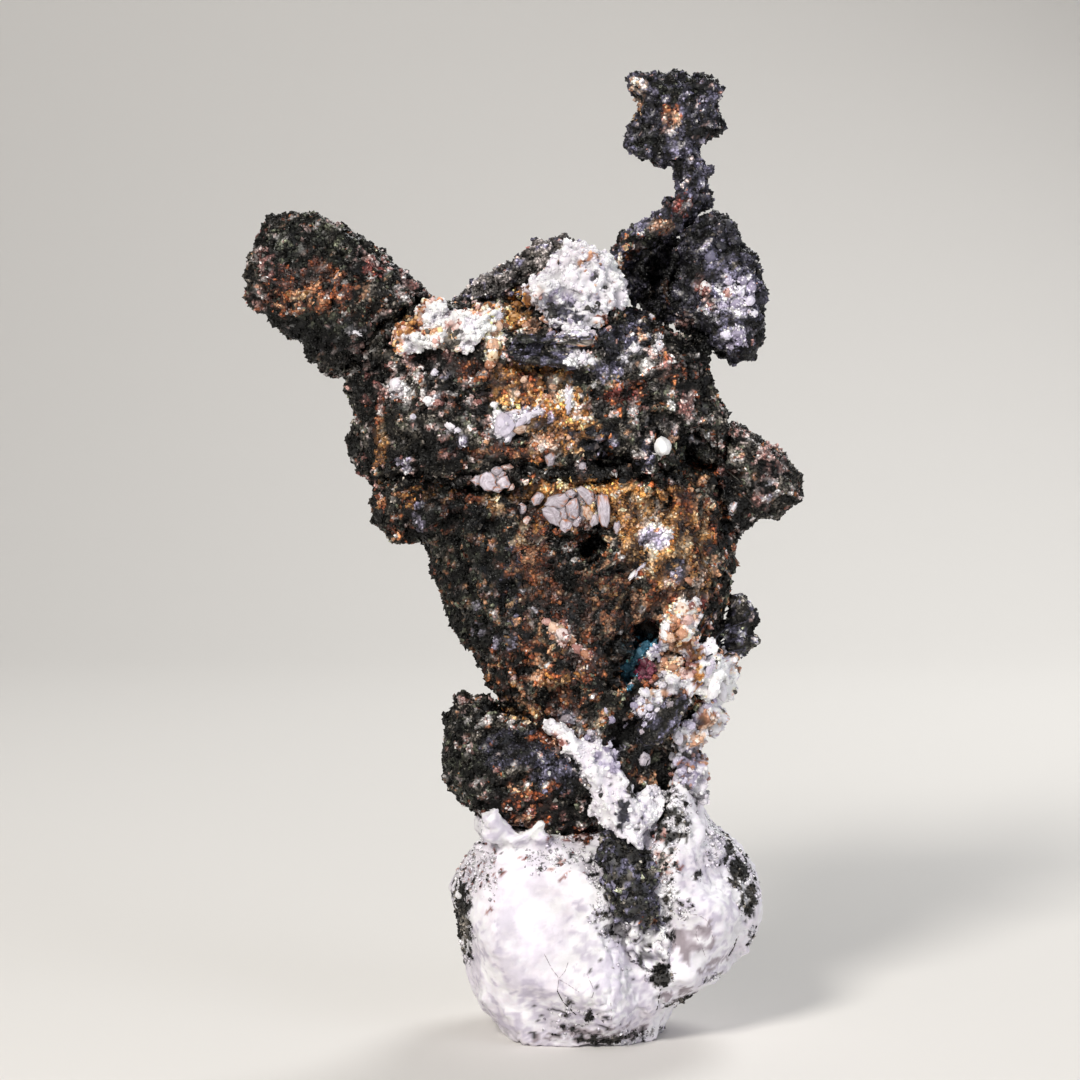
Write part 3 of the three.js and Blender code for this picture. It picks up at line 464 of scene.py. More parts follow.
def reliefTree():  # raises lumps and clumps and sinks pits on a skin, and leaves its noise for the colouring
    tree, given, result = newTree("spongeRelief", [
        ("Lump Height", "Float", 0.6 * mm), ("Lump Size", "Float", 5 * mm),
        ("Clump Height", "Float", 0.5 * mm), ("Clump Size", "Float", 1.7 * mm),
        ("Knob Height", "Float", 0.2 * mm), ("Knob Size", "Float", 1 * mm),
        ("Pit Depth", "Float", 0.8 * mm), ("Pit Size", "Float", 2.4 * mm), ("Pit Edge", "Float", 0.58),
        ("Strand", "Vector", (0.0, 0.0, 1.0)), ("Stretch", "Float", 0.0), ("Sink", "Float", 0.2 * mm),
        ("Floor", "Float", 0.0), ("Seed", "Int", 1), ("Material", "Material", None),
    ])
    place = addNode(tree, "GeometryNodeInputPosition")
    away = addNode(tree, vectorMaths, {0: (0.37, 0.61, 0.83), "Scale": given["Seed"]}, operation="SCALE")
    seeded = addNode(tree, vectorMaths, {0: place, 1: away}, operation="ADD")
    # along the strands the pattern is drawn out
    along = addNode(tree, vectorMaths, {0: seeded, 1: given["Strand"]}, operation="DOT_PRODUCT")
    slack = addNode(tree, maths, {0: along, 1: given["Stretch"]}, operation="MULTIPLY")
    taken = addNode(tree, vectorMaths, {0: given["Strand"], "Scale": slack}, operation="SCALE")
    drawn = addNode(tree, vectorMaths, {0: seeded, 1: taken}, operation="SUBTRACT")

    noises = {}
    for use, where, size, detail in (
        ("Lump", drawn, given["Lump Size"], 1.0), ("Knob", drawn, given["Knob Size"], 1.0),
        ("Pit", drawn, given["Pit Size"], 1.0), ("Clump", drawn, given["Clump Size"], 2.0),
        ("mottle", seeded, 0.9 * mm, 2.0), ("drift", seeded, 3.5 * mm, 3.0),
    ):
        scale = addNode(tree, maths, {0: 1.0, 1: size}, operation="DIVIDE")
        noises[use] = addNode(tree, "ShaderNodeTexNoise", {"Vector": where, "Scale": scale, "Detail": detail})
    heights = {}
    for use in ("Lump", "Knob"):
        centred = addNode(tree, maths, {0: noises[use], 1: 0.5}, operation="SUBTRACT")
        even = addNode(tree, maths, {0: centred, 1: 4.0}, operation="MULTIPLY")
        heights[use] = addNode(tree, maths, {0: even, 1: given[use + " Height"]}, operation="MULTIPLY")

    # clumps are rounded cells, bent by noise, with creases between them
    warp = addNode(tree, vectorMaths, {
        0: noises["Clump"].outputs["Color"], 1: (0.5, 0.5, 0.5)}, operation="SUBTRACT")
    reach = addNode(tree, maths, {0: given["Clump Size"], 1: 1.3}, operation="MULTIPLY")
    bend = addNode(tree, vectorMaths, {0: warp, "Scale": reach}, operation="SCALE")
    bent = addNode(tree, vectorMaths, {0: drawn, 1: bend}, operation="ADD")
    scale = addNode(tree, maths, {0: 1.0, 1: given["Clump Size"]}, operation="DIVIDE")
    cells = addNode(tree, "ShaderNodeTexVoronoi", {"Vector": bent, "Scale": scale})
    crease = addNode(tree, "ShaderNodeMapRange", {"Value": cells, "From Min": 0.35, "From Max": 0.8})
    domed = addNode(tree, maths, {0: 0.4, 1: cells}, operation="SUBTRACT")
    full = addNode(tree, maths, {0: given["Clump Height"], 1: 2.0}, operation="MULTIPLY")
    heights["Clump"] = addNode(tree, maths, {0: domed, 1: full}, operation="MULTIPLY")

    pitEnd = addNode(tree, maths, {0: given["Pit Edge"], 1: 0.08}, operation="ADD")
    bottom = addNode(tree, maths, {0: given["Pit Depth"], 1: given["Sink"]}, operation="ADD")
    pits = addNode(tree, "ShaderNodeMapRange", {
        "Value": noises["Pit"], "From Min": given["Pit Edge"], "From Max": pitEnd,
        "To Min": given["Sink"], "To Max": bottom}, interpolation_type="SMOOTHSTEP")
    rugged = addNode(tree, "GeometryNodeInputNamedAttribute", {"Name": "rugged"}, data_type="FLOAT")
    height = heights["Lump"]
    for operation, other in (
        ("ADD", heights["Clump"]), ("ADD", heights["Knob"]), ("SUBTRACT", pits), ("MULTIPLY", rugged),
    ):
        height = addNode(tree, maths, {0: height, 1: other}, operation=operation)

    skin = given["Geometry"]
    for name, value in (
        ("mottle", noises["mottle"]), ("drift", noises["drift"]), ("depth", height), ("crease", crease),
    ):
        skin = addNode(tree, "GeometryNodeStoreNamedAttribute", {
            "Geometry": skin, "Name": name, "Value": value}, data_type="FLOAT", domain="POINT")
    normal = addNode(tree, "GeometryNodeInputNormal")
    lift = addNode(tree, vectorMaths, {0: normal, "Scale": height}, operation="SCALE")
    moved = addNode(tree, "GeometryNodeSetPosition", {"Geometry": skin, "Offset": lift})
    split = addNode(tree, "ShaderNodeSeparateXYZ", {0: addNode(tree, "GeometryNodeInputPosition")})
    level = addNode(tree, maths, {0: split.outputs["Z"], 1: given["Floor"]}, operation="MAXIMUM")
    flat = addNode(tree, "ShaderNodeCombineXYZ", {
        "X": split.outputs["X"], "Y": split.outputs["Y"], "Z": level})
    grounded = addNode(tree, "GeometryNodeSetPosition", {"Geometry": moved, "Position": flat})
    return endTree(tree, given, result, grounded)


def crumbTree(name, forms):  # scatters grains of a few forms over a skin, as thick as its "cover" says
    tree, given, result = newTree(name, [
        ("Spacing", "Float", 0.22 * mm), ("Density", "Float", 9e6), ("Smallest", "Float", 0.1 * mm),
        ("Largest", "Float", 0.32 * mm), ("Bite", "Float", 0.05 * mm), ("Jagged", "Float", 0.35),
        ("Narrow", "Float", 0.6), ("Wide", "Float", 1.5), ("Faceted", "Float", 0.25), ("Seed", "Int", 1),
        ("Material", "Material", None),
    ])
    chances = {}
    for use, kind, low, high, shift in (  # a random value for each point or corner, from its own seed
        ("size", "FLOAT", 0.0, 1.0, 1), ("grain", "FLOAT", 0.0, 1.0, 2),
        ("turn", "FLOAT_VECTOR", (0.0, 0.0, 0.0), (6.28, 6.28, 6.28), 3),
        ("X", "FLOAT", given["Narrow"], given["Wide"], 4), ("Y", "FLOAT", given["Narrow"], given["Wide"], 14),
        ("Z", "FLOAT", given["Narrow"], given["Wide"], 24), ("form", "INT", 0, len(forms) - 1, 5),
        ("shove", "FLOAT_VECTOR", (-1.0, -1.0, -1.0), (1.0, 1.0, 1.0), 6),
    ):
        seed = addNode(tree, maths, {0: given["Seed"], 1: float(shift)}, operation="ADD")
        chances[use] = addNode(tree, "FunctionNodeRandomValue", {
            "Min": low, "Max": high, "Seed": seed}, data_type=kind)
    stored = {use: addNode(tree, "GeometryNodeInputNamedAttribute", {"Name": use}, data_type="FLOAT")
              for use in ("cover", "size", "grain")}

    spread = addNode(tree, "GeometryNodeDistributePointsOnFaces", {
        "Mesh": given["Geometry"], "Distance Min": given["Spacing"], "Density Max": given["Density"],
        "Density Factor": stored["cover"], "Seed": given["Seed"]}, distribute_method="POISSON")
    skewed = addNode(tree, maths, {0: chances["size"], 1: 2.0}, operation="POWER")  # many small
    size = addNode(tree, "ShaderNodeMapRange", {
        "Value": skewed, "To Min": given["Smallest"], "To Max": given["Largest"]})
    points = spread
    for attribute, kind, value in (
        ("seat", "FLOAT_VECTOR", addNode(tree, "GeometryNodeInputPosition")),
        ("out", "FLOAT_VECTOR", spread.outputs["Normal"]), ("grain", "FLOAT", chances["grain"]),
        ("size", "FLOAT", size),
    ):
        points = addNode(tree, "GeometryNodeStoreNamedAttribute", {
            "Geometry": points, "Name": attribute, "Value": value}, data_type=kind, domain="POINT")
    inward = addNode(tree, maths, {0: given["Bite"], 1: -1.0}, operation="MULTIPLY")
    sunk = addNode(tree, vectorMaths, {0: spread.outputs["Normal"], "Scale": inward}, operation="SCALE")
    points = addNode(tree, "GeometryNodeSetPosition", {"Geometry": points, "Offset": sunk})

    shapes = addNode(tree, "GeometryNodeJoinGeometry")
    for kind, settings in forms:
        single = addNode(tree, "GeometryNodeGeometryToInstance", {0: addNode(tree, kind, settings)})
        tree.links.new(single.outputs[0], shapes.inputs[0])
    odd = addNode(tree, "ShaderNodeCombineXYZ", {axis: chances[axis] for axis in "XYZ"})
    stretched = addNode(tree, vectorMaths, {0: odd, "Scale": size}, operation="SCALE")
    placed = addNode(tree, "GeometryNodeInstanceOnPoints", {
        "Points": points, "Instance": shapes, "Pick Instance": True, "Instance Index": chances["form"],
        "Rotation": chances["turn"], "Scale": stretched})
    real = addNode(tree, "GeometryNodeRealizeInstances", {"Geometry": placed})
    push = addNode(tree, maths, {0: stored["size"], 1: given["Jagged"]}, operation="MULTIPLY")
    shove = addNode(tree, vectorMaths, {0: chances["shove"], "Scale": push}, operation="SCALE")
    jagged = addNode(tree, "GeometryNodeSetPosition", {"Geometry": real, "Offset": shove})
    sharp = addNode(tree, "FunctionNodeCompare", {
        "A": stored["grain"], "B": given["Faceted"]}, data_type="FLOAT", operation="LESS_THAN")
    rounded = addNode(tree, "GeometryNodeSetShadeSmooth", {"Geometry": jagged, "Shade Smooth": True})
    faceted = addNode(tree, "GeometryNodeSetShadeSmooth", {
        "Geometry": rounded, "Selection": sharp, "Shade Smooth": False})
    return endTree(tree, given, result, faceted)


relief = reliefTree()
crumbs = crumbTree("crumbScatter", [  # chips of silver and stained grains
    ("GeometryNodeMeshUVSphere", {"Segments": 3, "Rings": 2, "Radius": 1.15}),
    ("GeometryNodeMeshUVSphere", {"Segments": 4, "Rings": 2, "Radius": 1.1}),
    ("GeometryNodeMeshUVSphere", {"Segments": 5, "Rings": 2, "Radius": 1.05}),
    ("GeometryNodeMeshCube", {"Size": (1.5, 1.5, 1.0)}),
])
sugar = crumbTree("sugarScatter", [  # rounded grains of calcite
    ("GeometryNodeMeshIcoSphere", {"Radius": 1.0, "Subdivisions": 1}),
    ("GeometryNodeMeshCube", {"Size": (1.5, 1.4, 1.3)}),
    ("GeometryNodeMeshUVSphere", {"Segments": 6, "Rings": 4, "Radius": 1.0}),
])


# Each solid gets a skin: a closed, fine mesh of its own. Ridges and strands that stand out of a solid have a
# path as x, z in mm (and where its front is), a width, a depth, and how far they stand out.
ridges = {
    "silver_shoulder": [
        ([(4.2, 62, -10), (5.6, 59.8, -10.3), (6.9, 57.6, -9.9), (7.7, 55.4, -9)], 1.3, 2.4, 0),
        ([(6.2, 72.6), (8.6, 69.2), (11, 66.4), (13.8, 63.4)], 1.5, 2, 0.7),
        ([(2.6, 71), (5.6, 67.4), (8.4, 64.8), (10.6, 63.6)], 1.3, 2, 0.6),
        ([(0.2, 71.4), (1.6, 69), (3, 66.4), (4, 64)], 1.1, 2, 0.5),
        ([(-3.4, 63.4), (-0.4, 62.2), (2.4, 62), (4.4, 62.8)], 1.6, 2, 0.8),
        ([(-17, 66.8), (-13, 65.4), (-10.4, 62)], 1.3, 2, 0.5),
        ([(-21.5, 70), (-21.6, 66), (-21, 61.4)], 1.2, 2, 0.5),
        ([(-9, 75), (-9.4, 72), (-9.8, 68.6)], 1.8, 2, 0.7),
        ([(-16, 59.4), (-11, 60), (-7, 60.2)], 1.4, 2, 0.7),
        ([(-1, 66), (-3.2, 67.4), (-3.4, 65)], 1, 2, 0.5),
    ],
    "silver_trunk": [
        ([(-14, 56.9), (-12.8, 55), (-11.4, 52.4)], 1.1, 1.6, 0.5),
        ([(-8.4, 54.2), (-7.9, 50.4), (-7.2, 45.6)], 1.2, 1.6, 0.5),
        ([(-16, 52), (-14.4, 48), (-13, 44)], 1.2, 1.6, 0.5),
        ([(-11.6, 50), (-10.8, 46), (-9.6, 42)], 1.2, 1.6, 0.4),
        ([(8.6, 56), (9.9, 53.4), (11.2, 50.6)], 1, 1.6, 0.4),
        ([(11.4, 52.4), (13, 49.6), (14.3, 47.6)], 0.9, 1.6, 0.4),
        ([(-4.2, 43.2), (-2.4, 41.8), (-0.4, 40.4)], 1.4, 1.8, 0.7),
        ([(7.6, 42), (10, 43.4), (12.4, 44.8)], 1.2, 1.8, 0.5),
        ([(-18, 55.6), (-17.4, 53.8), (-17.6, 52)], 0.9, 1.6, 0.4),
        ([(-6.4, 39.6), (-3, 38), (0.6, 37.6)], 1.6, 1.8, 0.6),
        ([(6.3, 41.9, -6.4), (5.3, 40.7, -6.6), (4.4, 39.2, -7), (3.7, 37.5, -7.2)], 1.7, 3, 0),
    ],
    "silver_right_spur": [
        ([(13.2, 60.6), (15, 58.6), (16.4, 56.4)], 1.1, 1.8, 0.7),
        ([(14.6, 62), (17.6, 60.8), (20, 59.4), (21.8, 57.8)], 1, 1.6, 0.5),
        ([(15.6, 60), (18.4, 58.4), (20.8, 56.4)], 1, 1.6, 0.5),
        ([(15.8, 58), (17.8, 56.2), (19.4, 54.4)], 1, 1.6, 0.5),
    ],
    "silver_left_arm": [
        ([(-32.6, 80.6, -1.2), (-35.3, 81.4, -0.6)], 1.3, 2.4, 0),
        ([(-33.4, 78.2), (-34.9, 76.4), (-33.6, 74.8)], 1.5, 2, 1.2),
        ([(-29.6, 84.6), (-26.6, 83.6), (-23, 81.2)], 1.4, 2.4, 1.2),
        ([(-27.4, 73.4), (-24.8, 70.8), (-22, 69)], 1.4, 2, 0.8),
    ],
    "silver_lower_fin": [
        ([(10.6, 41), (13, 42.4), (16.6, 44.4)], 1, 1.4, 0.5),
        ([(10.6, 40.6), (13.6, 41.6), (17.6, 42.7)], 1, 1.4, 0.7),
        ([(11, 39.8), (13.8, 40.2), (17.5, 40.8)], 1, 1.4, 0.7),
        ([(10.4, 41.8), (12.2, 43.4), (14, 45.4)], 1, 1.4, 0.4),
        ([(11.6, 39.4), (13.4, 38.8), (15.4, 39.2)], 0.8, 1.4, 0.4),
    ],
    "silver_heel": [
        ([(-11, 32.4), (-7, 33), (-3.2, 31.6), (-1.6, 28.6)], 1.6, 2, 0.6),
        ([(-9, 30), (-6, 30.8), (-3.4, 29.4), (-2.6, 26)], 1.3, 2, 0.6),
        ([(-14.4, 35.6), (-12, 35), (-10, 35.4)], 1.2, 2, 0.5),
    ],
    "silver_blades": [
        ([(-7.8, 71.9), (-6.2, 71.9), (-4.2, 71.8)], 1.3, 3, 0.8),
        ([(-4.4, 72), (-2.4, 72.2), (-0.6, 72.3), (0.4, 72.3)], 1.7, 3, 1.3),
        ([(-9, 70.4), (-6.6, 70.1), (-4, 69.9), (-1.2, 69.2)], 1.7, 3, 1.3),
    ],
    "calcite_foot": [
        ([(-12.6, 17.6), (-13.6, 15), (-13.6, 12)], 1.6, 2.4, 0.4),
        ([(12.4, 6), (15.6, 9.6), (17, 13)], 1.8, 2.4, 0.4),
        ([(-11, 9), (-10.9, 6), (-10.3, 4.2), (-8.8, 2.6)], 1.6, 3, 0.2),
    ],
    "silver_crown_branch": [
        ([(10.4, 88.4), (9, 86), (7, 84.4), (4.8, 83.2), (3.2, 81.6), (2.5, 79.4)], 1.9, 2.4, 1.2),
        ([(4, 97.8), (4.9, 98.2), (5.4, 97)], 1.7, 2, 0.6),
        ([(11.4, 98.4), (12.8, 97.4), (12.9, 96)], 1.8, 2, 0.6),
        ([(11.6, 93.6), (13, 93.4), (13.9, 94)], 1.2, 1.8, 0.5),
        ([(4, 92.6), (5.2, 91.2), (6.8, 90.4)], 1.8, 2, 0.6),
    ],
    "silver_right_lobe": [
        ([(12.6, 83.6), (13.8, 84), (14.4, 82.8)], 1.8, 2.2, 0.6),
        ([(9.4, 82.4), (9.2, 79), (9.4, 75.4)], 1, 1.8, 0.6),
        ([(10.8, 82.4), (10.8, 79.6), (10.6, 76.6)], 0.9, 1.8, 0.4),
        ([(14, 79.4), (15.6, 78.8), (16.8, 77.4)], 2, 2.2, 0.6),
        ([(13.4, 76.2), (15.4, 75.6), (16.8, 75)], 1.8, 2.2, 0.6),
        ([(13, 72.6), (14.6, 71.8), (16, 72)], 1.8, 2.2, 0.6),
        ([(11.2, 77.8), (12, 76.6), (12.2, 75)], 1.6, 2, 0.5),
    ],
    "calcite_column": [
        ([(8.5, 44.5), (9.2, 44.9), (9.9, 44.7)], 1.7, 2, 0.8),
        ([(7.4, 43.1), (7.6, 42.2), (8, 41.2)], 1.2, 2, 0.9),
        ([(8.2, 42.8), (9, 42.2), (9.7, 42.4)], 1.6, 2, 0.7),
        ([(9.8, 38.2), (10.3, 39.6), (11.4, 40), (12.2, 39.2)], 1.9, 2.4, 0.9),
        ([(13.6, 39.2), (13.9, 37.6), (13.6, 35.6)], 1.1, 3, 1),
        ([(12.8, 37.4), (12.1, 36.4), (11.7, 35.6)], 1.7, 2.6, 1),
        ([(7.2, 37.4), (8.2, 37.3), (9.3, 37.9)], 1.4, 2, 0.8), ([(9.7, 36.5), (10.2, 35.4)], 1, 2, 0.8),
        ([(6.3, 40.8, -8.8), (6.8, 39.8, -9)], 1.2, 2, 0), ([(11.3, 34.6), (12.2, 35)], 1.2, 2, 0.8),
        ([(12.8, 33.7), (12, 32.8), (11, 31.3)], 1.9, 2.6, 0.9), ([(9.8, 32.8), (10.9, 33.4)], 1.3, 2, 0.8),
        ([(8.6, 32), (8.9, 31.1)], 1.3, 2, 0.9), ([(8.3, 29.2), (9.3, 30.1), (10.5, 29.2)], 1.6, 2.2, 0.8),
        ([(8.6, 27.8), (9.6, 27), (10.5, 27.6)], 1.4, 2.2, 0.7),
    ],
    "calcite_vein": [
        ([(-4.6, 33.4), (-2.6, 32), (-0.4, 29.6), (1.4, 26.6)], 2.6, 3, 1.2),
        ([(0.2, 31.2), (2.4, 28.4), (3.6, 25.4), (5.2, 22)], 2.2, 3, 1),
        ([(1, 27), (2.6, 23.4), (5.2, 20.2)], 1.8, 2.6, 0.8),
        ([(3.6, 23.6), (4.4, 21.2), (4.8, 19)], 2, 2.6, 0.9),
    ],
}
# Knobs that have grown onto a solid: x, z, where the front is, the width and the height in mm.
knobRoughness = 0.06
knobs = {
    "calcite_foot": [
        (-9.7, 23.2, -9.4, 2.6, 2.5), (-10.5, 22.5, -8.8, 1.8, 1.8), (-8.9, 22.4, -9.2, 1.9, 1.8),
        (-9.6, 24.3, -9.2, 1.6, 1.3), (-10.4, 23.9, -8.9, 1.5, 1.3), (-9.7, 21.7, -9.2, 2.8, 1.8),
        (-6.8, 21.7, -9.6, 2, 1.6), (-5.8, 22.4, -9.8, 1.7, 1.4), (-5, 23.1, -9.8, 1.2, 1.2),
        (-5.2, 21.5, -9.6, 2.4, 1.6), (-9.8, 3.8, -5.4, 3.4, 3.6), (-9.2, 2.9, -1.4, 4.4, 4.4),
        (-8.4, 2.4, -6, 3.2, 3.2), (-7.8, 21.2, -9.4, 1.8, 1.3), (-12.4, 18.6, -5.4, 1.8, 2),
        (-13.1, 16.6, -5, 1.5, 1.8), (-11.4, 20, -6.4, 1.8, 1.4),
    ],
}


# A rod's width at its ends and what is added in its middle, how much its width and depth vary and its line
# wanders in mm, and its section.
rod = {"tip": 0.35, "swell": 0.65, "span": (0.1, 0.8), "bluntness": 0.6, "widthVaries": 0.16,
       "depthVaries": 0.1, "wanders": 0.1, "section": (
           (-1, 0.1), (-0.5, -0.9), (0.5, -1), (1, 0.1), (0.5, 1), (-0.5, 1))}


def rodRings(line, width, depth, draw):  # a rough six-sided rod along a line of points, thinner at its ends
    ahead = np.gradient(line, axis=0)
    side = np.stack([ahead[:, 2], np.zeros(len(line)), -ahead[:, 0]], 1)
    side /= np.linalg.norm(side, axis=1, keepdims=True)
    rings = []
    for i, middle in enumerate(line):
        t = i / (len(line) - 1)
        swell = math.sin(math.pi * (rod["span"][0] + rod["span"][1] * t)) ** rod["bluntness"]
        taper = rod["tip"] + rod["swell"] * swell
        w = width / 2 * taper * (1 + draw.normal(0, rod["widthVaries"]))
        d = depth / 2 * taper * (1 + draw.normal(0, rod["depthVaries"]))
        rings.append([middle + side[i] * w * u + np.array((0, d * v, 0)) for u, v in rod["section"]])
    return rings


def ringMesh(solids):  # closed solids given as stacks of rings, as points and faces
    points, faces = [], []
    for rings in solids:
        first, count = len(points), len(rings[0])
        for ring in rings:
            points.extend(tuple(np.asarray(p) * mm) for p in ring)
        for i in range(len(rings) - 1):
            for j in range(count):
                a, b = first + i * count + j, first + i * count + (j + 1) % count
                faces.append((a, b, b + count, a + count))
        faces.append(tuple(first + j for j in reversed(range(count))))
        faces.append(tuple(first + (len(rings) - 1) * count + j for j in range(count)))
    return points, faces


def addRidges(shape, nodeName):  # joins the ridges and knobs to the solid that they stand on
    surface = BVHTree.FromBMesh(shape)
    draw = np.random.default_rng(len(nodeName))
    solids = []
    for path, width, depth, lift in ridges[nodeName]:
        touches = [firstTouch(surface, *knot[:2]) for knot in path]
        beside = max([y for y in touches if y is not None] or [0.0])  # for a knot that hangs past the solid
        knots = []
        for (x, z, *given), touch in zip(path, touches):
            front = given[0] if given else (beside if touch is None else touch) - lift
            knots.append((x, front + depth / 2, z))
        knots = np.array(knots)
        along = np.linspace(0, len(knots) - 1, 3 * len(knots) - 2)
        line = np.array([np.interp(along, np.arange(len(knots)), knots[:, i]) for i in range(3)]).T
        solids.append(rodRings(line + draw.normal(0, rod["wanders"], line.shape), width, depth, draw))
    for x, z, front, width, height in knobs.get(nodeName, ()):
        place = Vector((x, front + width / 2, z)) * mm
        for vertex in bmesh.ops.create_icosphere(shape, subdivisions=2, radius=0.5 * mm)["verts"]:
            u, v, w = vertex.co * (1 + draw.normal(0, knobRoughness))
            vertex.co = Vector((u * width, v * width, w * height)) + place
    points, faces = ringMesh(solids)
    made = [shape.verts.new(p) for p in points]
    added = [shape.faces.new([made[i] for i in face]) for face in faces]
    bmesh.ops.recalc_face_normals(shape, faces=added)


def skinOf(nodeName, look):  # the solid's surface remeshed as fine as the voxel
    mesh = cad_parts[nodeName].data.copy()
    shape = bmesh.new()
    shape.from_mesh(mesh)
    bmesh.ops.remove_doubles(shape, verts=shape.verts, dist=1e-6)
    shape.normal_update()
    for vertex in shape.verts:
        vertex.co += vertex.normal * (look["grow"] * mm)
    if nodeName in ridges:
        addRidges(shape, nodeName)
    shape.to_mesh(mesh)
    shape.free()
    mesh.materials.clear()
    piece = newObject(nodeName + "_raw", mesh)
    remesh = piece.modifiers.new("voxels", "REMESH")
    remesh.mode = "VOXEL"
    remesh.voxel_size = look["voxel"] * mm
    remesh.use_smooth_shade = True
    soften = piece.modifiers.new("soften", "SMOOTH")
    soften.factor = 0.5
    soften.iterations = look["smooth"]
    return settle(piece, nodeName + "_skin")


def carve(mesh, look):  # sinks the hollows, and dents of its own, into the side that faces -Y
    places = pointsOf(mesh) / mm
    normals = np.empty(len(mesh.vertices) * 3, np.float32)
    mesh.vertices.foreach_get("normal", normals)
    facing = smoothStep(0.0, 0.5, -normals.reshape(-1, 3)[:, 1])
    for *oval, depth in [(*hollow[:4], hollow[4] * look["carve"]) for hollow in hollows] + look["dents"]:
        places[:, 1] += depth * facing * (1 - smoothStep(*marks["dentEdge"], fromOval(places, *oval)))
    mesh.vertices.foreach_set("co", (places * mm).astype(np.float32).ravel())
    mesh.update()


triangles = {}


def finish(piece, nodeName):  # puts a made piece on the body in its node's place
    triangles[piece.name] = sum(len(p.vertices) - 2 for p in piece.data.polygons)
    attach(piece, "root")
    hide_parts(nodeName)


# What every piece has unless its own dictionary says otherwise, sizes in mm.
usual = {
    "material": silverMaterial, "grow": 0.1, "smooth": 3,  # the skin: how much is added, and smoothing steps
    "knob": (0.15, 1), "sink": 0.1, "strand": (0.0, 0.0, 1.0), "stretch": 0.0,  # its relief
    "carve": 1.0, "dents": [], "calm": (),  # how deep the hollows go, dents of its own, and planes left calm
    "clean": False, "blemishes": (), "behind": (),  # without the shared stains, and with stains of its own
    "bareShade": 0.75, "tone": 1.0, "creaseShade": 0.8,  # painted shade bare and in creases; brightness in all
    "paintedLightFootToTop": (0.55, 1.25), "paintedLightGapToTip": (0.35, 1.25),  # painted light from low to high, on the relief and on a grain
    "cover": (1.0, 1.0), "stony": (0.35, 0.7), "bareCrease": 0.6, "halves": False,  # where its grains are
    "forms": crumbs, "crumbMaterial": silverMaterial, "spacing": 0.17, "bite": 0.03, "jagged": 0.35,
    "narrow": 0.6, "wide": 1.5, "faceted": 0.25, "cluster": 0.8, "odd": 1.8,  # the grains themselves
}


# Where the painted shades begin and end: feet and tops of the relief in mm, hollows in it, and low and high
# on a grain in grain sizes. Then how much the grains vary in brightness, and how much fine mottling is in
# their colour.
shading = {"relief": (-0.9, 0.5), "hollow": (0.1, 0.9), "grain": (-0.3, 1.0), "varies": (0.85, 0.3),
           "mottling": 0.6}


def paintedLightOnTop(depth, look):  # painted light: clump tops are painted lighter than their feet
    dark, light = look["paintedLightFootToTop"]
    return dark + (light - dark) * smoothStep(*shading["relief"], depth / mm + look["sink"])


def patchy(drift, mottle):  # even chances in patches, from the noises on the skin
    return evenRank(drift + shading["mottling"] * mottle)


def scatterOn(skin, nodeName, look, ending, cover):  # grains over a skin, each with its own mineral
    source = newObject(nodeName + "_source", skin.data.copy())
    writeAttribute(source.data, "cover", cover)
    grains = runTree(source, look["forms"], {
        "Spacing": look["spacing"] * mm, "Density": look["density"] * 1e6, "Smallest": look["crumb"][0] * mm,
        "Largest": look["crumb"][1] * mm, "Bite": look["bite"] * mm, "Jagged": look["jagged"],
        "Narrow": look["narrow"], "Wide": look["wide"], "Faceted": look["faceted"], "Seed": look["seed"] + 50,
        "Material": look["crumbMaterial"],
    }, nodeName + ending)
    mesh = grains.data
    grain, mottle, drift, crease, depth = (
        readAttribute(mesh, name) for name in ("grain", "mottle", "drift", "crease", "depth"))
    seat = readAttribute(mesh, "seat", 3) / mm
    pick = evenRank(look["cluster"] * evenRank(mottle) + (1 - look["cluster"]) * grain)
    which = shareOut(seat, pick, drift + mottle - 0.5, look)[0]
    rise = ((pointsOf(mesh) / mm - seat) * readAttribute(mesh, "out", 3)).sum(1)
    rise = rise / (readAttribute(mesh, "size") / mm)
    gap, tip = look["paintedLightGapToTip"]  # painted highlights on the tips, painted shade in the gaps
    dull, varied = shading["varies"]
    shade = (gap + (tip - gap) * smoothStep(*shading["grain"], rise)) * (dull + varied * scatter(grain, 2))
    shade *= 1 - look["creaseShade"] * crease
    shade *= paintedLightOnTop(depth, look) * look["tone"] * toneWithPaintedLightAt(seat)
    paint(mesh, which, evenRank(patchy(drift, mottle) + look["odd"] * scatter(grain, 1)), shade)
    mesh.materials.clear()
    mesh.materials.append(look["crumbMaterial"])
    finish(grains, nodeName)


skins = {}


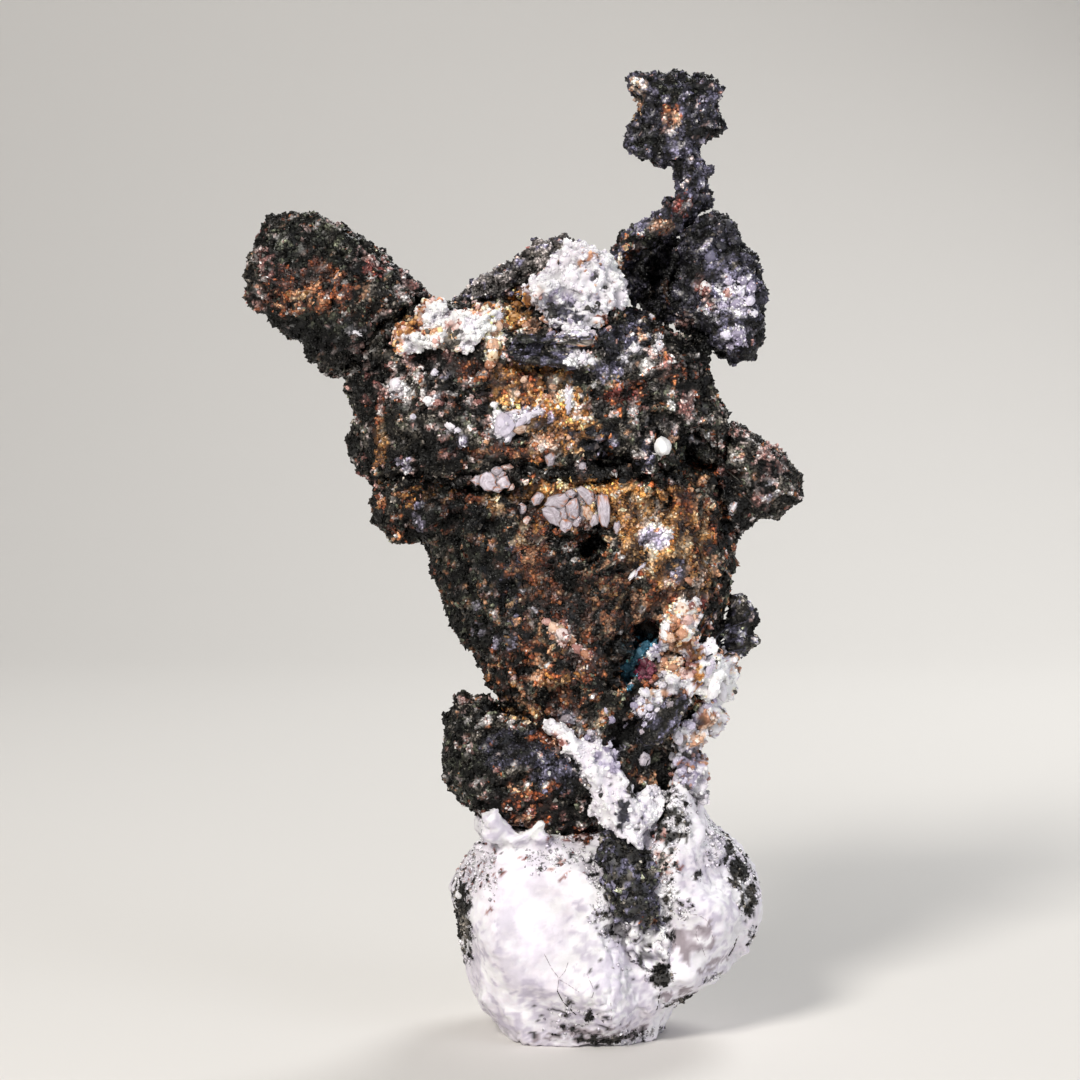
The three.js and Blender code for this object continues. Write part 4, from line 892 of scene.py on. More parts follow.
def growPiece(nodeName, look):  # a skin with its relief and colours, and the grains on it
    look = {**usual, **look}
    skin = skinOf(nodeName, look)
    carve(skin.data, look)
    before = pointsOf(skin.data) / mm
    rugged = np.ones(len(before))
    for *oval, share in look["calm"]:  # broken clean here, so smoother
        edge = smoothStep(*marks["calmEdge"], fromOval(before, *oval))
        rugged = np.minimum(rugged, share + (1 - share) * edge)
    writeAttribute(skin.data, "rugged", rugged)
    sizes = {"Pit Depth": look["pit"][0] * mm, "Pit Size": look["pit"][1] * mm, "Sink": look["sink"] * mm}
    for use in ("Lump", "Clump", "Knob"):
        sizes[use + " Height"], sizes[use + " Size"] = (size * mm for size in look[use.lower()])
    skin = runTree(skin, relief, {
        **sizes, "Strand": look["strand"], "Stretch": look["stretch"], "Seed": look["seed"],
        "Material": look["material"],
    }, nodeName + "_skin")
    mesh = skin.data
    seat = pointsOf(mesh) / mm
    mottle, drift, depth, crease = (
        readAttribute(mesh, name) for name in ("mottle", "drift", "depth", "crease"))
    which, weights = shareOut(seat, evenRank(mottle), drift + mottle - 0.5, look)
    stony = weights[:, [mineralNames.index(name) for name in ("calcite", "frost", "lilac", "spar")]].sum(1)
    # painted shade in the hollows of the relief and in its creases
    paintedHollowShade = np.maximum(smoothStep(*shading["hollow"], -depth / mm - look["sink"]), crease)
    shade = look["bareShade"] * (look["tone"] * toneWithPaintedLightAt(seat))  # painted shade between the grains
    shade = shade * paintedLightOnTop(depth, look) * (1 - look["creaseShade"] * paintedHollowShade)
    paint(mesh, which, patchy(drift, mottle), shade)
    onStone, onSilver = look["cover"]
    cover = onSilver + (onStone - onSilver) * smoothStep(*look["stony"], stony)
    cover = cover * (1 - look["bareCrease"] * crease)
    back = smoothStep(-0.5, 0.5, seat[:, 1])
    if look["halves"]:  # large pieces carry their grains in two halves
        scatterOn(skin, nodeName, look, "_crumbs", cover * (1 - back))
        scatterOn(skin, nodeName, look, "_back_crumbs", cover * back * marks["backKeeps"])
    else:
        scatterOn(skin, nodeName, look, "_crumbs", cover * (1 - marks["backLoses"] * back))
    finish(skin, nodeName)
    skins[nodeName] = skin
    print("stage:", nodeName, [count for name, count in triangles.items() if name.startswith(nodeName)])


darkMix = {"silver": 0.64, "olive": 0.13, "black": 0.08, "rust": 0.04, "pink": 0.11}
blueMix = {"blueGrey": 0.7, "silver": 0.18, "black": 0.05, "pink": 0.04, "lilac": 0.03}

trunk = {
    "voxel": 0.48, "lump": (0.35, 5), "clump": (0.65, 1.7), "pit": (0.8, 2.4), "strand": (0.3, 0.0, 0.954),
    "stretch": 0.35, "halves": True,
    "mix": {"silver": 0.5, "olive": 0.14, "black": 0.08, "rust": 0.2, "ochre": 0.04, "pink": 0.04},
    "density": 11.0, "crumb": (0.12, 0.33), "cover": (0.9, 1.0), "seed": 3,
}
growPiece("silver_trunk", trunk)

shoulder = {
    "voxel": 0.48, "lump": (0.35, 5), "clump": (0.65, 1.7), "pit": (0.8, 2.2), "halves": True,
    "mix": darkMix, "density": 11.0, "crumb": (0.12, 0.34), "cover": (0.9, 1.0), "seed": 11,
}
growPiece("silver_shoulder", shoulder)

arm = {
    "voxel": 0.44, "lump": (0.25, 4.5), "clump": (0.5, 1.5), "pit": (0.6, 1.9), "mix": darkMix,
    "density": 11.5, "crumb": (0.12, 0.31), "seed": 21,
}
growPiece("silver_left_arm", arm)

heel = {
    "voxel": 0.44, "lump": (0.25, 4.5), "clump": (0.5, 1.6), "pit": (0.6, 2), "mix": darkMix,
    "density": 11.5, "crumb": (0.12, 0.32), "seed": 31,
}
growPiece("silver_heel", heel)

spur = {
    "voxel": 0.4, "lump": (0.25, 4), "clump": (0.4, 1.3), "pit": (0.5, 1.8), "strand": (0.94, 0.0, -0.34),
    "stretch": 0.6, "mix": darkMix, "creaseShade": 0.85, "density": 11.5, "crumb": (0.12, 0.3), "seed": 41,
}
growPiece("silver_right_spur", spur)

crown = {
    "voxel": 0.32, "grow": -0.15, "smooth": 2, "lump": (0.15, 3), "clump": (0.45, 1.2), "knob": (0.12, 0.8),
    "pit": (0.4, 1.6), "mix": blueMix, "tone": 0.95, "paintedLightGapToTip": (0.35, 1.2), "creaseShade": 0.75,
    "density": 12.0, "crumb": (0.11, 0.28), "seed": 51, "dents": [(6.2, 78.6, 2.4, 2.6, 1.4)],
}
growPiece("silver_crown_branch", crown)

lobe = {
    "voxel": 0.34, "lump": (0.2, 3), "clump": (0.5, 1.3), "knob": (0.12, 0.8), "pit": (0.6, 1.7),
    "mix": blueMix, "tone": 0.6, "paintedLightGapToTip": (0.42, 1.12), "creaseShade": 0.85, "density": 12.0,
    "crumb": (0.11, 0.28), "seed": 61,
}
growPiece("silver_right_lobe", lobe)

crest = {
    "voxel": 0.38, "lump": (0.4, 3), "clump": (0.6, 1.3), "knob": (0.2, 0.9), "pit": (0.7, 1.8),
    "mix": {"pewter": 0.66, "silver": 0.18, "blueGrey": 0.1, "pink": 0.06}, "tone": 3.2, "density": 12.0,
    "crumb": (0.13, 0.36), "seed": 71,
}
growPiece("silver_crest", crest)

fin = {
    "clean": True, "voxel": 0.3, "lump": (0.2, 2.5), "clump": (0.3, 1.1), "knob": (0.1, 0.8),
    "pit": (0.4, 1.5), "strand": (0.8, 0.0, 0.6), "stretch": 0.65,
    "mix": {"silver": 0.6, "blueGrey": 0.25, "olive": 0.1, "pink": 0.05}, "tone": 1.5, "creaseShade": 0.85,
    "density": 9.0, "crumb": (0.1, 0.24), "seed": 81,
}
growPiece("silver_lower_fin", fin)

blades = {
    "clean": True, "voxel": 0.22, "grow": -0.15, "lump": (0.1, 3), "clump": (0.14, 0.8), "knob": (0.08, 0.6),
    "pit": (0.25, 1.4), "strand": (0.98, 0.0, -0.2), "stretch": 0.7,
    "mix": {"blueGrey": 0.55, "silver": 0.35, "black": 0.1}, "tone": 2.8, "creaseShade": 0.7, "density": 8.0,
    "crumb": (0.08, 0.2), "cover": (0.4, 1.0), "seed": 93, "carve": 0.0,
    "dents": [(-1.8, 71.1, 2.6, 0.35, 1.6), (-6.2, 71.15, 2.4, 0.2, 0.8)],
    "blemishes": [
        ("lilac", -1.9, 73, 2.5, 0.8, 0.97), ("calcite", -1.2, 73, 1.8, 0.6, 0.7),
        # the black at -2, 71.05 is painted shade under the ledge, in its dent
        ("pink", -2, 71.9, 2.2, 0.35, 0.6), ("black", -2, 71.05, 2.6, 0.25, 0.9),
        ("calcite", -0.9, 70, 1.6, 0.8, 0.97), ("olive", -6.8, 71.9, 0.9, 0.5, 0.6),
        ("pink", -8.4, 70.4, 0.5, 0.5, 0.5),
    ],
}
growPiece("silver_blades", blades)

leaf = {
    "clean": True, "voxel": 0.25, "lump": (0.1, 2.5), "clump": (0.15, 0.9), "knob": (0.05, 0.8),
    "pit": (0.2, 1.6), "strand": (0.6, 0.0, 0.8), "stretch": 0.6,
    "mix": {"blueGrey": 0.35, "silver": 0.55, "black": 0.1}, "tone": 1.6, "creaseShade": 0.7,
    "density": 12.0, "crumb": (0.09, 0.22), "seed": 95, "blemishes": [("lilac", 5.6, 34.8, 1.2, 1, 0.8)],
}
growPiece("silver_lower_leaf", leaf)

root = {
    "clean": True, "material": calciteMaterial, "voxel": 0.3, "lump": (0.2, 3), "clump": (0.4, 1.1),
    "knob": (0.15, 0.8), "pit": (0.5, 1.6),
    "mix": {"blueGrey": 0.35, "silver": 0.4, "olive": 0.15, "black": 0.1}, "tone": 1.9, "density": 11.0,
    "crumb": (0.12, 0.3), "cover": (0.12, 1.0), "seed": 99, "dents": [(5, 8.2, 4.8, 4, 1.6)],
    "blemishes": [
        ("calcite", 4.8, 9, 5.4, 4.2, 1), ("frost", 4.6, 9.6, 2.6, 2.2, 0.5),
        ("silver", 4.2, 10.4, 2.4, 2, 0.16), ("calcite", 8.2, 15, 1.3, 5, 0.85),
        ("silver", 7.2, 7.8, 1, 1.1, 0.97), ("rust", 6, 13.6, 1, 0.8, 0.4),
    ],
}
growPiece("silver_root", root)
print("stage: silver grown")

foot = {
    "clean": True, "material": calciteMaterial, "voxel": 0.37, "lump": (0.5, 5.5), "clump": (0.16, 1.1),
    "knob": (0.12, 0.5), "pit": (0.35, 0.9), "mix": {"calcite": 1.0}, "bareShade": 1.0, "paintedLightFootToTop": (0.9, 1.02),
    "paintedLightGapToTip": (0.45, 1.25), "creaseShade": 0.12, "density": 12.0, "crumb": (0.09, 0.25),
    "cover": (0.0, 1.0), "stony": (0.86, 0.98), "bareCrease": 0.2, "seed": 7,
    "calm": [(-6.4, 10.5, 6.2, 9.5, 0.25), (11, 11, 4, 6, 0.35)],
    "blemishes": [
        ("frost", -11, 9, 1.6, 4, 0.25), ("frost", -3, 4, 6, 2.6, 0.4), ("frost", 3.6, 8.4, 4.2, 5, 0.5),
        ("frost", 13, 8, 1.6, 2, 0.5), ("frost", 12, 15, 3.4, 5, 0.35), ("spar", 9.8, 11.6, 1.3, 1.6, 0.97),
        ("spar", 11.3, 11.7, 0.9, 1.2, 0.85), ("silver", -11.4, 18.6, 2, 2, 0.05),
        ("pink", -11.6, 17.6, 2, 3, 0.07), ("silver", -3.6, 19.6, 3.4, 1, 0.07),
        ("pink", -3.6, 19.4, 3.4, 1.4, 0.05), ("frost", -9.7, 23, 1.8, 1.8, 0.45),
        ("frost", -5.4, 22, 2, 1.4, 0.4), ("silver", 9.3, 14.6, 1.2, 1.4, 0.12),
        ("silver", 13, 20.4, 1.6, 1.6, 0.16), ("silver", -1.6, 3, 3.4, 2, 0.06),
        ("spar", 12, 8.6, 2.6, 0.6, 0.4), ("silver", 2.6, 9.6, 3.2, 3, 0.07),
        ("silver", 0.8, 14.8, 1.1, 3.6, 0.14), ("frost", 2.2, 9, 3, 3.4, 0.5),
        ("frost", -0.4, 10, 1.6, 6, 0.4), ("silver", 7.7, 17.4, 0.8, 4.2, 0.4),
        ("pink", 7.4, 20, 1.2, 3, 0.3), ("silver", 8.3, 23.6, 1.9, 2.4, 0.65),
        ("silver", 6.4, 11.6, 0.9, 1.6, 0.45), ("silver", 7.2, 7.8, 1.05, 1.1, 0.97),
        # the black at 2.5, 12.2 is painted shade in the carved hole
        ("black", 2.5, 12.2, 0.8, 0.6, 0.98), ("silver", 15.2, 17.3, 1, 1.3, 0.97),
        ("silver", 16.1, 15, 0.9, 1.6, 0.97), ("silver", 14.5, 20, 0.5, 0.7, 0.9),
        ("silver", 10.7, 17.8, 0.4, 0.4, 0.7), ("spar", 1, 1.4, 5, 0.8, 0.5), ("spar", 9, 5, 2, 1, 0.5),
        ("silver", 3, 0.9, 4, 0.6, 0.5), ("silver", 9.6, 4.2, 1.8, 0.7, 0.5),
        ("silver", 12.8, 6.8, 1, 0.4, 0.5), ("silver", -2.5, 1.8, 1, 0.5, 0.35),
        ("silver", -2.4, 5, 0.4, 0.9, 0.5), ("silver", -0.2, 3.8, 0.3, 0.7, 0.5),
        ("silver", -13.2, 12, 0.9, 3.6, 0.95), ("pink", -12.8, 17.6, 0.8, 1, 0.3),
        ("silver", -12.6, 16.6, 0.7, 1.4, 0.2), ("silver", -11, 22.8, 0.4, 0.6, 0.3),
        ("silver", -5.4, 20.2, 0.5, 0.3, 0.7), ("rust", -0.8, 21.3, 1, 0.5, 0.9),
        ("pink", -2, 21.6, 2, 0.5, 0.35), ("silver", 0.4, 18.6, 0.8, 1.8, 0.25),
        ("silver", 16.6, 10.8, 0.4, 1, 0.4),
    ],
    "behind": [
        ("frost", -2, 9, 9, 5, 0.4), ("silver", -9.6, 9, 1, 3, 0.7), ("silver", 6, 13, 2.2, 3.4, 0.16),
        ("silver", -3, 19.6, 5, 0.9, 0.35), ("rust", 3, 21, 5, 0.8, 0.5), ("silver", 2, 1.2, 6, 0.7, 0.45),
        ("spar", -5, 5, 1.6, 1.2, 0.7), ("silver", 11, 6.4, 2, 0.5, 0.5),
    ],
}
growPiece("calcite_foot", foot)

# Sugary calcite: its grains are rounded and rub together, so the gaps stay light.
sugary = {
    "clean": True, "material": calciteMaterial, "voxel": 0.3, "lump": (0.3, 3), "clump": (0.3, 1.2),
    "knob": (0.12, 0.7), "pit": (0.4, 1.6), "bareShade": 0.85, "paintedLightFootToTop": (0.75, 1.05),
    "paintedLightGapToTip": (0.65, 1.08), "creaseShade": 0.4, "density": 7.0, "spacing": 0.24, "crumb": (0.1, 0.27),
    "jagged": 0.2, "faceted": 0.5, "forms": sugar, "crumbMaterial": calciteMaterial,
}
vein = {
    **sugary, "mix": {"calcite": 0.95, "lilac": 0.03, "silver": 0.02}, "tone": 1.15,
    "paintedLightFootToTop": (0.9, 1.06), "paintedLightGapToTip": (0.85, 1.1), "creaseShade": 0.2, "density": 5.0, "seed": 111,
    "blemishes": [
        ("lilac", 2.6, 29.6, 1.6, 1.4, 0.7), ("blueGrey", 3.2, 24.4, 0.7, 1.2, 0.95),
        ("silver", 4.6, 27.4, 0.8, 1.4, 0.6), ("pink", -3.4, 31.8, 1, 0.8, 0.7),
        ("silver", -0.3, 26.4, 0.5, 0.7, 0.4), ("lilac", 6.2, 20, 0.7, 0.8, 0.6),
    ],
}
growPiece("calcite_vein", vein)

cap = {
    **sugary, "clump": (0.5, 1.1), "knob": (0.2, 0.6),
    "mix": {"calcite": 0.94, "lilac": 0.03, "cream": 0.02, "silver": 0.01}, "tone": 1.12,
    "paintedLightFootToTop": (0.8, 1.08), "paintedLightGapToTip": (0.75, 1.15), "creaseShade": 0.45, "seed": 121,
    "dents": [
        (-3.2, 75.3, 1.8, 1.5, 1.3), (0.5, 78.4, 0.5, 0.4, 0.7), (1.4, 77.3, 0.4, 0.3, 0.6),
        (-0.4, 79.4, 0.4, 0.3, 0.5),
    ],
    "blemishes": [
        ("lilac", -3.6, 76, 1.7, 1, 0.75), ("blueGrey", -2.6, 74.6, 1.6, 1, 0.8),
        # the two black spots are painted shade in the small dents
        ("black", 0.5, 78.4, 0.4, 0.3, 0.9), ("black", 1.4, 77.3, 0.3, 0.25, 0.9),
        ("ochre", -7.4, 75, 1.4, 2, 0.9), ("cream", -5.6, 73.4, 1, 0.9, 0.8),
        ("pink", 2, 73.8, 1.2, 1.2, 0.6), ("pink", -5.4, 76.6, 0.8, 0.8, 0.4),
        ("silver", -4.2, 74.7, 0.5, 0.9, 0.5), ("silver", 0.2, 74.9, 0.8, 0.4, 0.5),
        ("rust", 1.4, 73.6, 1, 0.8, 0.4), ("cream", -0.6, 80, 1, 0.7, 0.3),
    ],
}
growPiece("calcite_cap", cap)

crust = {
    **sugary, "clump": (0.5, 1.1), "knob": (0.25, 0.6), "pit": (0.6, 1.3),
    "mix": {"pink": 0.3, "cream": 0.28, "ochre": 0.14, "rust": 0.14, "silver": 0.14}, "tone": 1.7,
    "paintedLightGapToTip": (0.75, 1.15), "creaseShade": 0.5, "density": 9.0, "spacing": 0.2, "crumb": (0.12, 0.32),
    "seed": 131, "dents": [(-14, 71.9, 0.7, 1.2, 1), (-16.9, 73.2, 1.4, 0.4, 0.6)],
    "blemishes": [
        ("calcite", -15, 74.2, 1.9, 1.6, 1), ("calcite", -17.2, 71.4, 1.8, 1.3, 1),
        ("calcite", -11.6, 71.7, 1.8, 2.3, 1), ("calcite", -9.6, 74.4, 0.7, 0.6, 0.9),
        ("ochre", -18.6, 73.4, 1, 1, 0.7), ("rust", -16, 72.8, 1.6, 0.5, 0.6),
        ("silver", -14, 71.6, 0.7, 1.2, 0.8), ("pink", -14, 73.2, 0.7, 0.8, 0.7),
    ],
}
growPiece("calcite_shoulder_crust", crust)

column = {
    **sugary, "voxel": 0.28, "grow": 0.05, "lump": (0.3, 4), "clump": (0.65, 1.4), "pit": (0.7, 1.8),
    "mix": {"calcite": 0.54, "lilac": 0.14, "cream": 0.18, "pink": 0.06, "silver": 0.06, "black": 0.02},
    "tone": 1.1, "paintedLightGapToTip": (0.65, 1.06), "creaseShade": 0.55, "density": 6.0, "crumb": (0.1, 0.3),
    "narrow": 0.7, "wide": 1.3, "seed": 151,
    "blemishes": [
        ("ochre", 10.8, 39, 1, 1.7, 0.85), ("pink", 9.8, 38.8, 0.7, 1.2, 0.7),
        ("cream", 8.6, 42.2, 1.3, 1.5, 0.95), ("ochre", 8.8, 41.4, 0.8, 1, 0.6),
        ("calcite", 7.3, 42.8, 0.5, 0.8, 0.95), ("lilac", 6.6, 40.2, 0.8, 1.1, 0.97),
        ("cream", 9.2, 44.7, 1.1, 1, 0.9), ("cream", 8.2, 39.4, 1, 1.2, 0.7),
        ("calcite", 12, 38.9, 0.6, 0.8, 0.95), ("calcite", 13.6, 37, 0.8, 2.2, 0.97),
        ("calcite", 12.3, 36.6, 0.9, 1, 0.95), ("calcite", 8.2, 37.2, 1.3, 0.8, 0.9),
        ("lilac", 10, 32.8, 1, 0.8, 0.8), ("cream", 12.2, 33.1, 1.1, 0.9, 0.85),
        ("cream", 11.1, 31.6, 0.8, 0.9, 0.85), ("lilac", 9.3, 28.4, 1.7, 2, 0.6),
        ("silver", 9.7, 29.7, 0.6, 0.4, 0.7), ("silver", 8.9, 25, 1.5, 1.6, 0.7),
        ("calcite", 11.1, 25, 0.9, 2, 0.9),
    ],
}
growPiece("calcite_column", column)

bead = {
    **sugary, "voxel": 0.2, "grow": -0.1, "lump": (0.25, 1.6), "clump": (0.05, 1), "knob": (0.03, 0.8),
    "pit": (0.1, 1.6), "mix": {"calcite": 1.0}, "tone": 1.25, "bareShade": 1.0, "paintedLightFootToTop": (1.0, 1.0),
    "creaseShade": 0.0, "density": 0.5, "spacing": 0.6, "crumb": (0.08, 0.14), "seed": 141,
}
growPiece("calcite_bead", bead)
print("stage: calcite grown")


# On the skins lie cleaved crystals, lumps, cracks and wires.
def allSkins():  # every skin as one surface to feel
    places, faces = [], []
    for piece in skins.values():
        first = len(places)
        places.extend(v.co.copy() for v in piece.data.vertices)
        faces.extend([first + i for i in p.vertices] for p in piece.data.polygons)
    return BVHTree.FromPolygons(places, faces)


wholeSurface = allSkins()


def frontOf(x, z):  # how far forward the specimen comes at a place, in mm
    return firstTouch(wholeSurface, x, z) or 0.0


# Cleaved calcite: the mineral, how far it stands out, how bright it is, and its outline as x, z in mm.
crystals = {
    "calcite_prisms": {"seed": 401, "thick": 1.4, "slot": "calcite", "made": [
        ("spar", 0.2, 0.5, [(-4.5, 54.8), (-4.3, 55.4), (-3.5, 55.9), (-2.4, 56.3), (-1.4, 56.6),
            (0, 56.2), (0.5, 55.2), (0.4, 53.8), (-0.2, 53.7), (-1.2, 53.5), (-2.4, 53.1), (-3, 53.4),
            (-4, 54.2)]),
        ("spar", 0.5, 1.05, [(-5.95, 55.9), (-5.4, 56.5), (-4.95, 56.4), (-4.8, 56.05), (-5.2, 55.45),
            (-5.7, 55.3)]),
        ("spar", 0.65, 0.85, [(-4.65, 55.35), (-4.3, 56.05), (-3.4, 56.35), (-2.65, 56.5), (-2.25, 56.1),
            (-2.65, 55.35), (-3.1, 55.05), (-3.9, 55.25)]),
        ("spar", 0.6, 0.9, [(-2.55, 56.6), (-1.95, 56.9), (-1.5, 56.5), (-1.85, 56.1), (-2.2, 56.15)]),
        ("spar", 0.75, 0.95, [(-4.9, 54.9), (-4.3, 55.2), (-3.7, 55.1), (-3.1, 54.65), (-2.95, 53.9),
            (-3.15, 53.15), (-3.5, 53.3), (-4.1, 53.6), (-4.7, 54.3)]),
        ("spar", 0.6, 0.85, [(-3.05, 54.95), (-2.65, 55.15), (-2.35, 54.45), (-2.55, 53.95),
            (-2.85, 53.95), (-3, 54.5)]),
        ("spar", 0.6, 1.1, [(-2.9, 53.85), (-2.45, 53.9), (-2, 53.6), (-2.1, 52.9), (-2.6, 52.6),
            (-3, 52.9), (-3.05, 53.3)]),
        ("spar", 0.85, 0.95, [(-2.5, 55.3), (-1.9, 55.85), (-1.45, 56), (-1.3, 55.2), (-1.3, 54.35),
            (-1.6, 53.95), (-2.1, 54.1), (-2.3, 54.6)]),
        ("spar", 0.6, 1, [(-1.6, 53.85), (-1.25, 54.25), (-1, 54), (-1.1, 53.3), (-1.5, 53.2),
            (-1.9, 53.5)]),
        ("spar", 0.9, 0.9, [(-1.5, 57), (-1, 57.25), (-0.4, 56.9), (0.2, 56.5), (0.4, 55.9), (0, 55.35),
            (-0.5, 55.6), (-1, 56.2)]),
        ("cream", 0.6, 0.8, [(-0.9, 55.2), (-0.3, 55.25), (0.15, 55.1), (0.15, 54.4), (0.05, 53.9),
            (-0.4, 53.9), (-0.8, 54.4)]),
        ("spar", 0.6, 1.05, [(0.2, 54.3), (0.45, 54.9), (0.65, 54.2), (0.6, 53.5), (0.1, 53.2),
            (-0.1, 53.7)]),
        ("spar", 0.5, 0.6, [(0.35, 56.4), (0.6, 56.2), (0.5, 55.2), (0.25, 55.25), (0.45, 55.9)]),
        ("spar", 1, 0.98, [(0.68, 56.3), (1, 56.5), (1.6, 56.3), (1.8, 55.2), (1.8, 53.9), (1.55, 53.2),
            (1.1, 53.3), (0.8, 53.9), (0.68, 55.2)]),
        ("spar", 0.5, 1.1, [(2.3, 53), (2.4, 53.6), (2.8, 53.7), (2.9, 53), (2.7, 52.4), (2.4, 52.5)]),
        ("spar", 0.4, 1.1, [(-7.45, 55.2), (-7, 55.4), (-6.6, 55.1), (-6.7, 54.5), (-7.2, 54.4),
            (-7.5, 54.8)]),
        ("pink", 0.4, 1.1, [(-7, 53.5), (-6.4, 54.1), (-6.1, 53.9), (-6.4, 53.1), (-6.9, 52.9)]),
        ("spar", 0.4, 0.8, [(-1.5, 58.9), (-1.1, 59.6), (-0.6, 59.5), (-0.5, 58.9), (-0.9, 58.5)]),
    ]},
    "calcite_rhombs": {"seed": 411, "thick": 1.2, "slot": "calcite", "made": [
        ("spar", 0.4, 0.5, [(-11.9, 57.8), (-10.8, 58.4), (-9.8, 58.9), (-8.9, 58.7), (-8.4, 58.1),
            (-8.3, 57.3), (-9.2, 56.9), (-10.6, 57), (-11.6, 57.5)]),
        ("spar", 0.5, 1.2, [(-12.1, 57.8), (-11.6, 58.2), (-11.15, 58.25), (-11.2, 57.5), (-11.6, 57.3)]),
        ("spar", 0.8, 1.3, [(-11.05, 58.3), (-10.5, 58.6), (-10.1, 58.5), (-9.65, 57.9), (-9.55, 57.3),
            (-9.95, 56.85), (-10.7, 56.9), (-11.1, 57.35)]),
        ("spar", 0.7, 1, [(-9.85, 56.75), (-9.45, 57.2), (-8.9, 56.95), (-9.3, 56.6)]),
        ("spar", 0.8, 1.3, [(-9.45, 57.6), (-9, 58.1), (-8.45, 58.2), (-8.2, 57.5), (-8.4, 57.1),
            (-9.1, 57.1)]),
        ("spar", 0.7, 0.95, [(-10, 58.65), (-9.8, 59), (-9.2, 59.1), (-9, 58.75), (-9.45, 58.35)]),
        ("spar", 0.7, 0.95, [(-9.45, 58.2), (-8.95, 58.65), (-8.6, 58.5), (-8.85, 58.15), (-9.35, 57.95)]),
        ("pink", 0.6, 0.9, [(-9, 59.2), (-8.2, 59.45), (-7.85, 59.1), (-8.6, 58.9)]),
        ("pink", 0.5, 1, [(-8.15, 57.3), (-7.9, 57.4), (-7.85, 56.9), (-8.35, 56.8)]),
    ]},
    "calcite_shoulder_crust": {"seed": 421, "thick": 1.0, "slot": "calcite", "made": [
        ("cream", 0.25, 0.7, [(-7.8, 62.8), (-7.35, 63.3), (-6.5, 63.25), (-6.6, 62.7), (-7.2, 62.5)]),
        ("frost", 0.2, 0.95, [(-2.6, 67.2), (-2.1, 67.3), (-1.9, 66.6), (-2.1, 65.8), (-2, 65),
            (-2.4, 64.5), (-2.7, 65.2), (-2.5, 66.2)]),
        ("calcite", 0.3, 1, [(14.2, 54.5), (14.6, 55.4), (14.9, 55.3), (14.5, 54.4)]),
        ("spar", 0.4, 0.8, [(-4.6, 60.2), (-4, 60.6), (-3.6, 60.2), (-3.9, 59.4), (-4.3, 59.3)]),
    ]},
    "calcite_column": {"seed": 431, "thick": 0.8, "slot": "calcite", "made": [
        ("calcite", 0.3, 1, [(3.7, 47.9), (3.9, 47.8), (4.6, 48.7), (4.4, 48.8)]),
        ("lilac", 0.3, 1, [(4.3, 48.3), (4.5, 48.2), (5.2, 49.2), (5, 49.3)]),
        ("lilac", 0.3, 1, [(5, 49), (5.2, 48.9), (5.8, 49.7), (5.6, 49.8)]),
    ]},
    "silver_blades": {"seed": 441, "thick": 1.2, "slot": "blue_grey_silver", "made": [
        ("silver", 0.1, 1.5, [(-4.4, 72), (-3.4, 72.35), (-1.9, 72.45), (-0.5, 72.35), (0.1, 72.1),
            (0.15, 71.6), (-0.3, 71.3), (-1.6, 71.25), (-3, 71.5), (-4, 71.7)]),
    ]},
}
# A crystal's rings, from its hidden back edge to its top: how far they are set in from the outline in mm,
# the share of its width they keep, how far back they lie (None is the crystal's thickness), and the painted
# shade: dark on the hidden sides, so the cracks between crystals read dark, and lighter towards the top.
crystalRings = (
    (-0.1, 1, None, 0.3), (-0.1, 1, 0.1, 0.5), (-0.02, 1, 0.02, 0.85), (0.07, 1, -0.03, 1),
    (0, 0.6, -0.1, 1.04), (0, 0.22, -0.15, 1.08),
)
# How far neighbours may be to share a plane, and how much edges, tilt, ridge and faces vary, all in mm or
# shares of the width. Then the shades, how many rim points are stained and how, and which colours are used.
cleavage = {"near": 3, "edges": 0.05, "tilt": 0.16, "lean": 0.25, "inset": 0.4, "faces": 0.025,
            "shades": (0.72, 1.04), "stained": 0.2, "stain": ("rust", 0.75), "colours": (0.35, 1)}


def outward(mesh):  # turns all faces outward
    shape = bmesh.new()
    shape.from_mesh(mesh)
    bmesh.ops.recalc_face_normals(shape, faces=shape.faces)
    shape.to_mesh(mesh)
    shape.free()


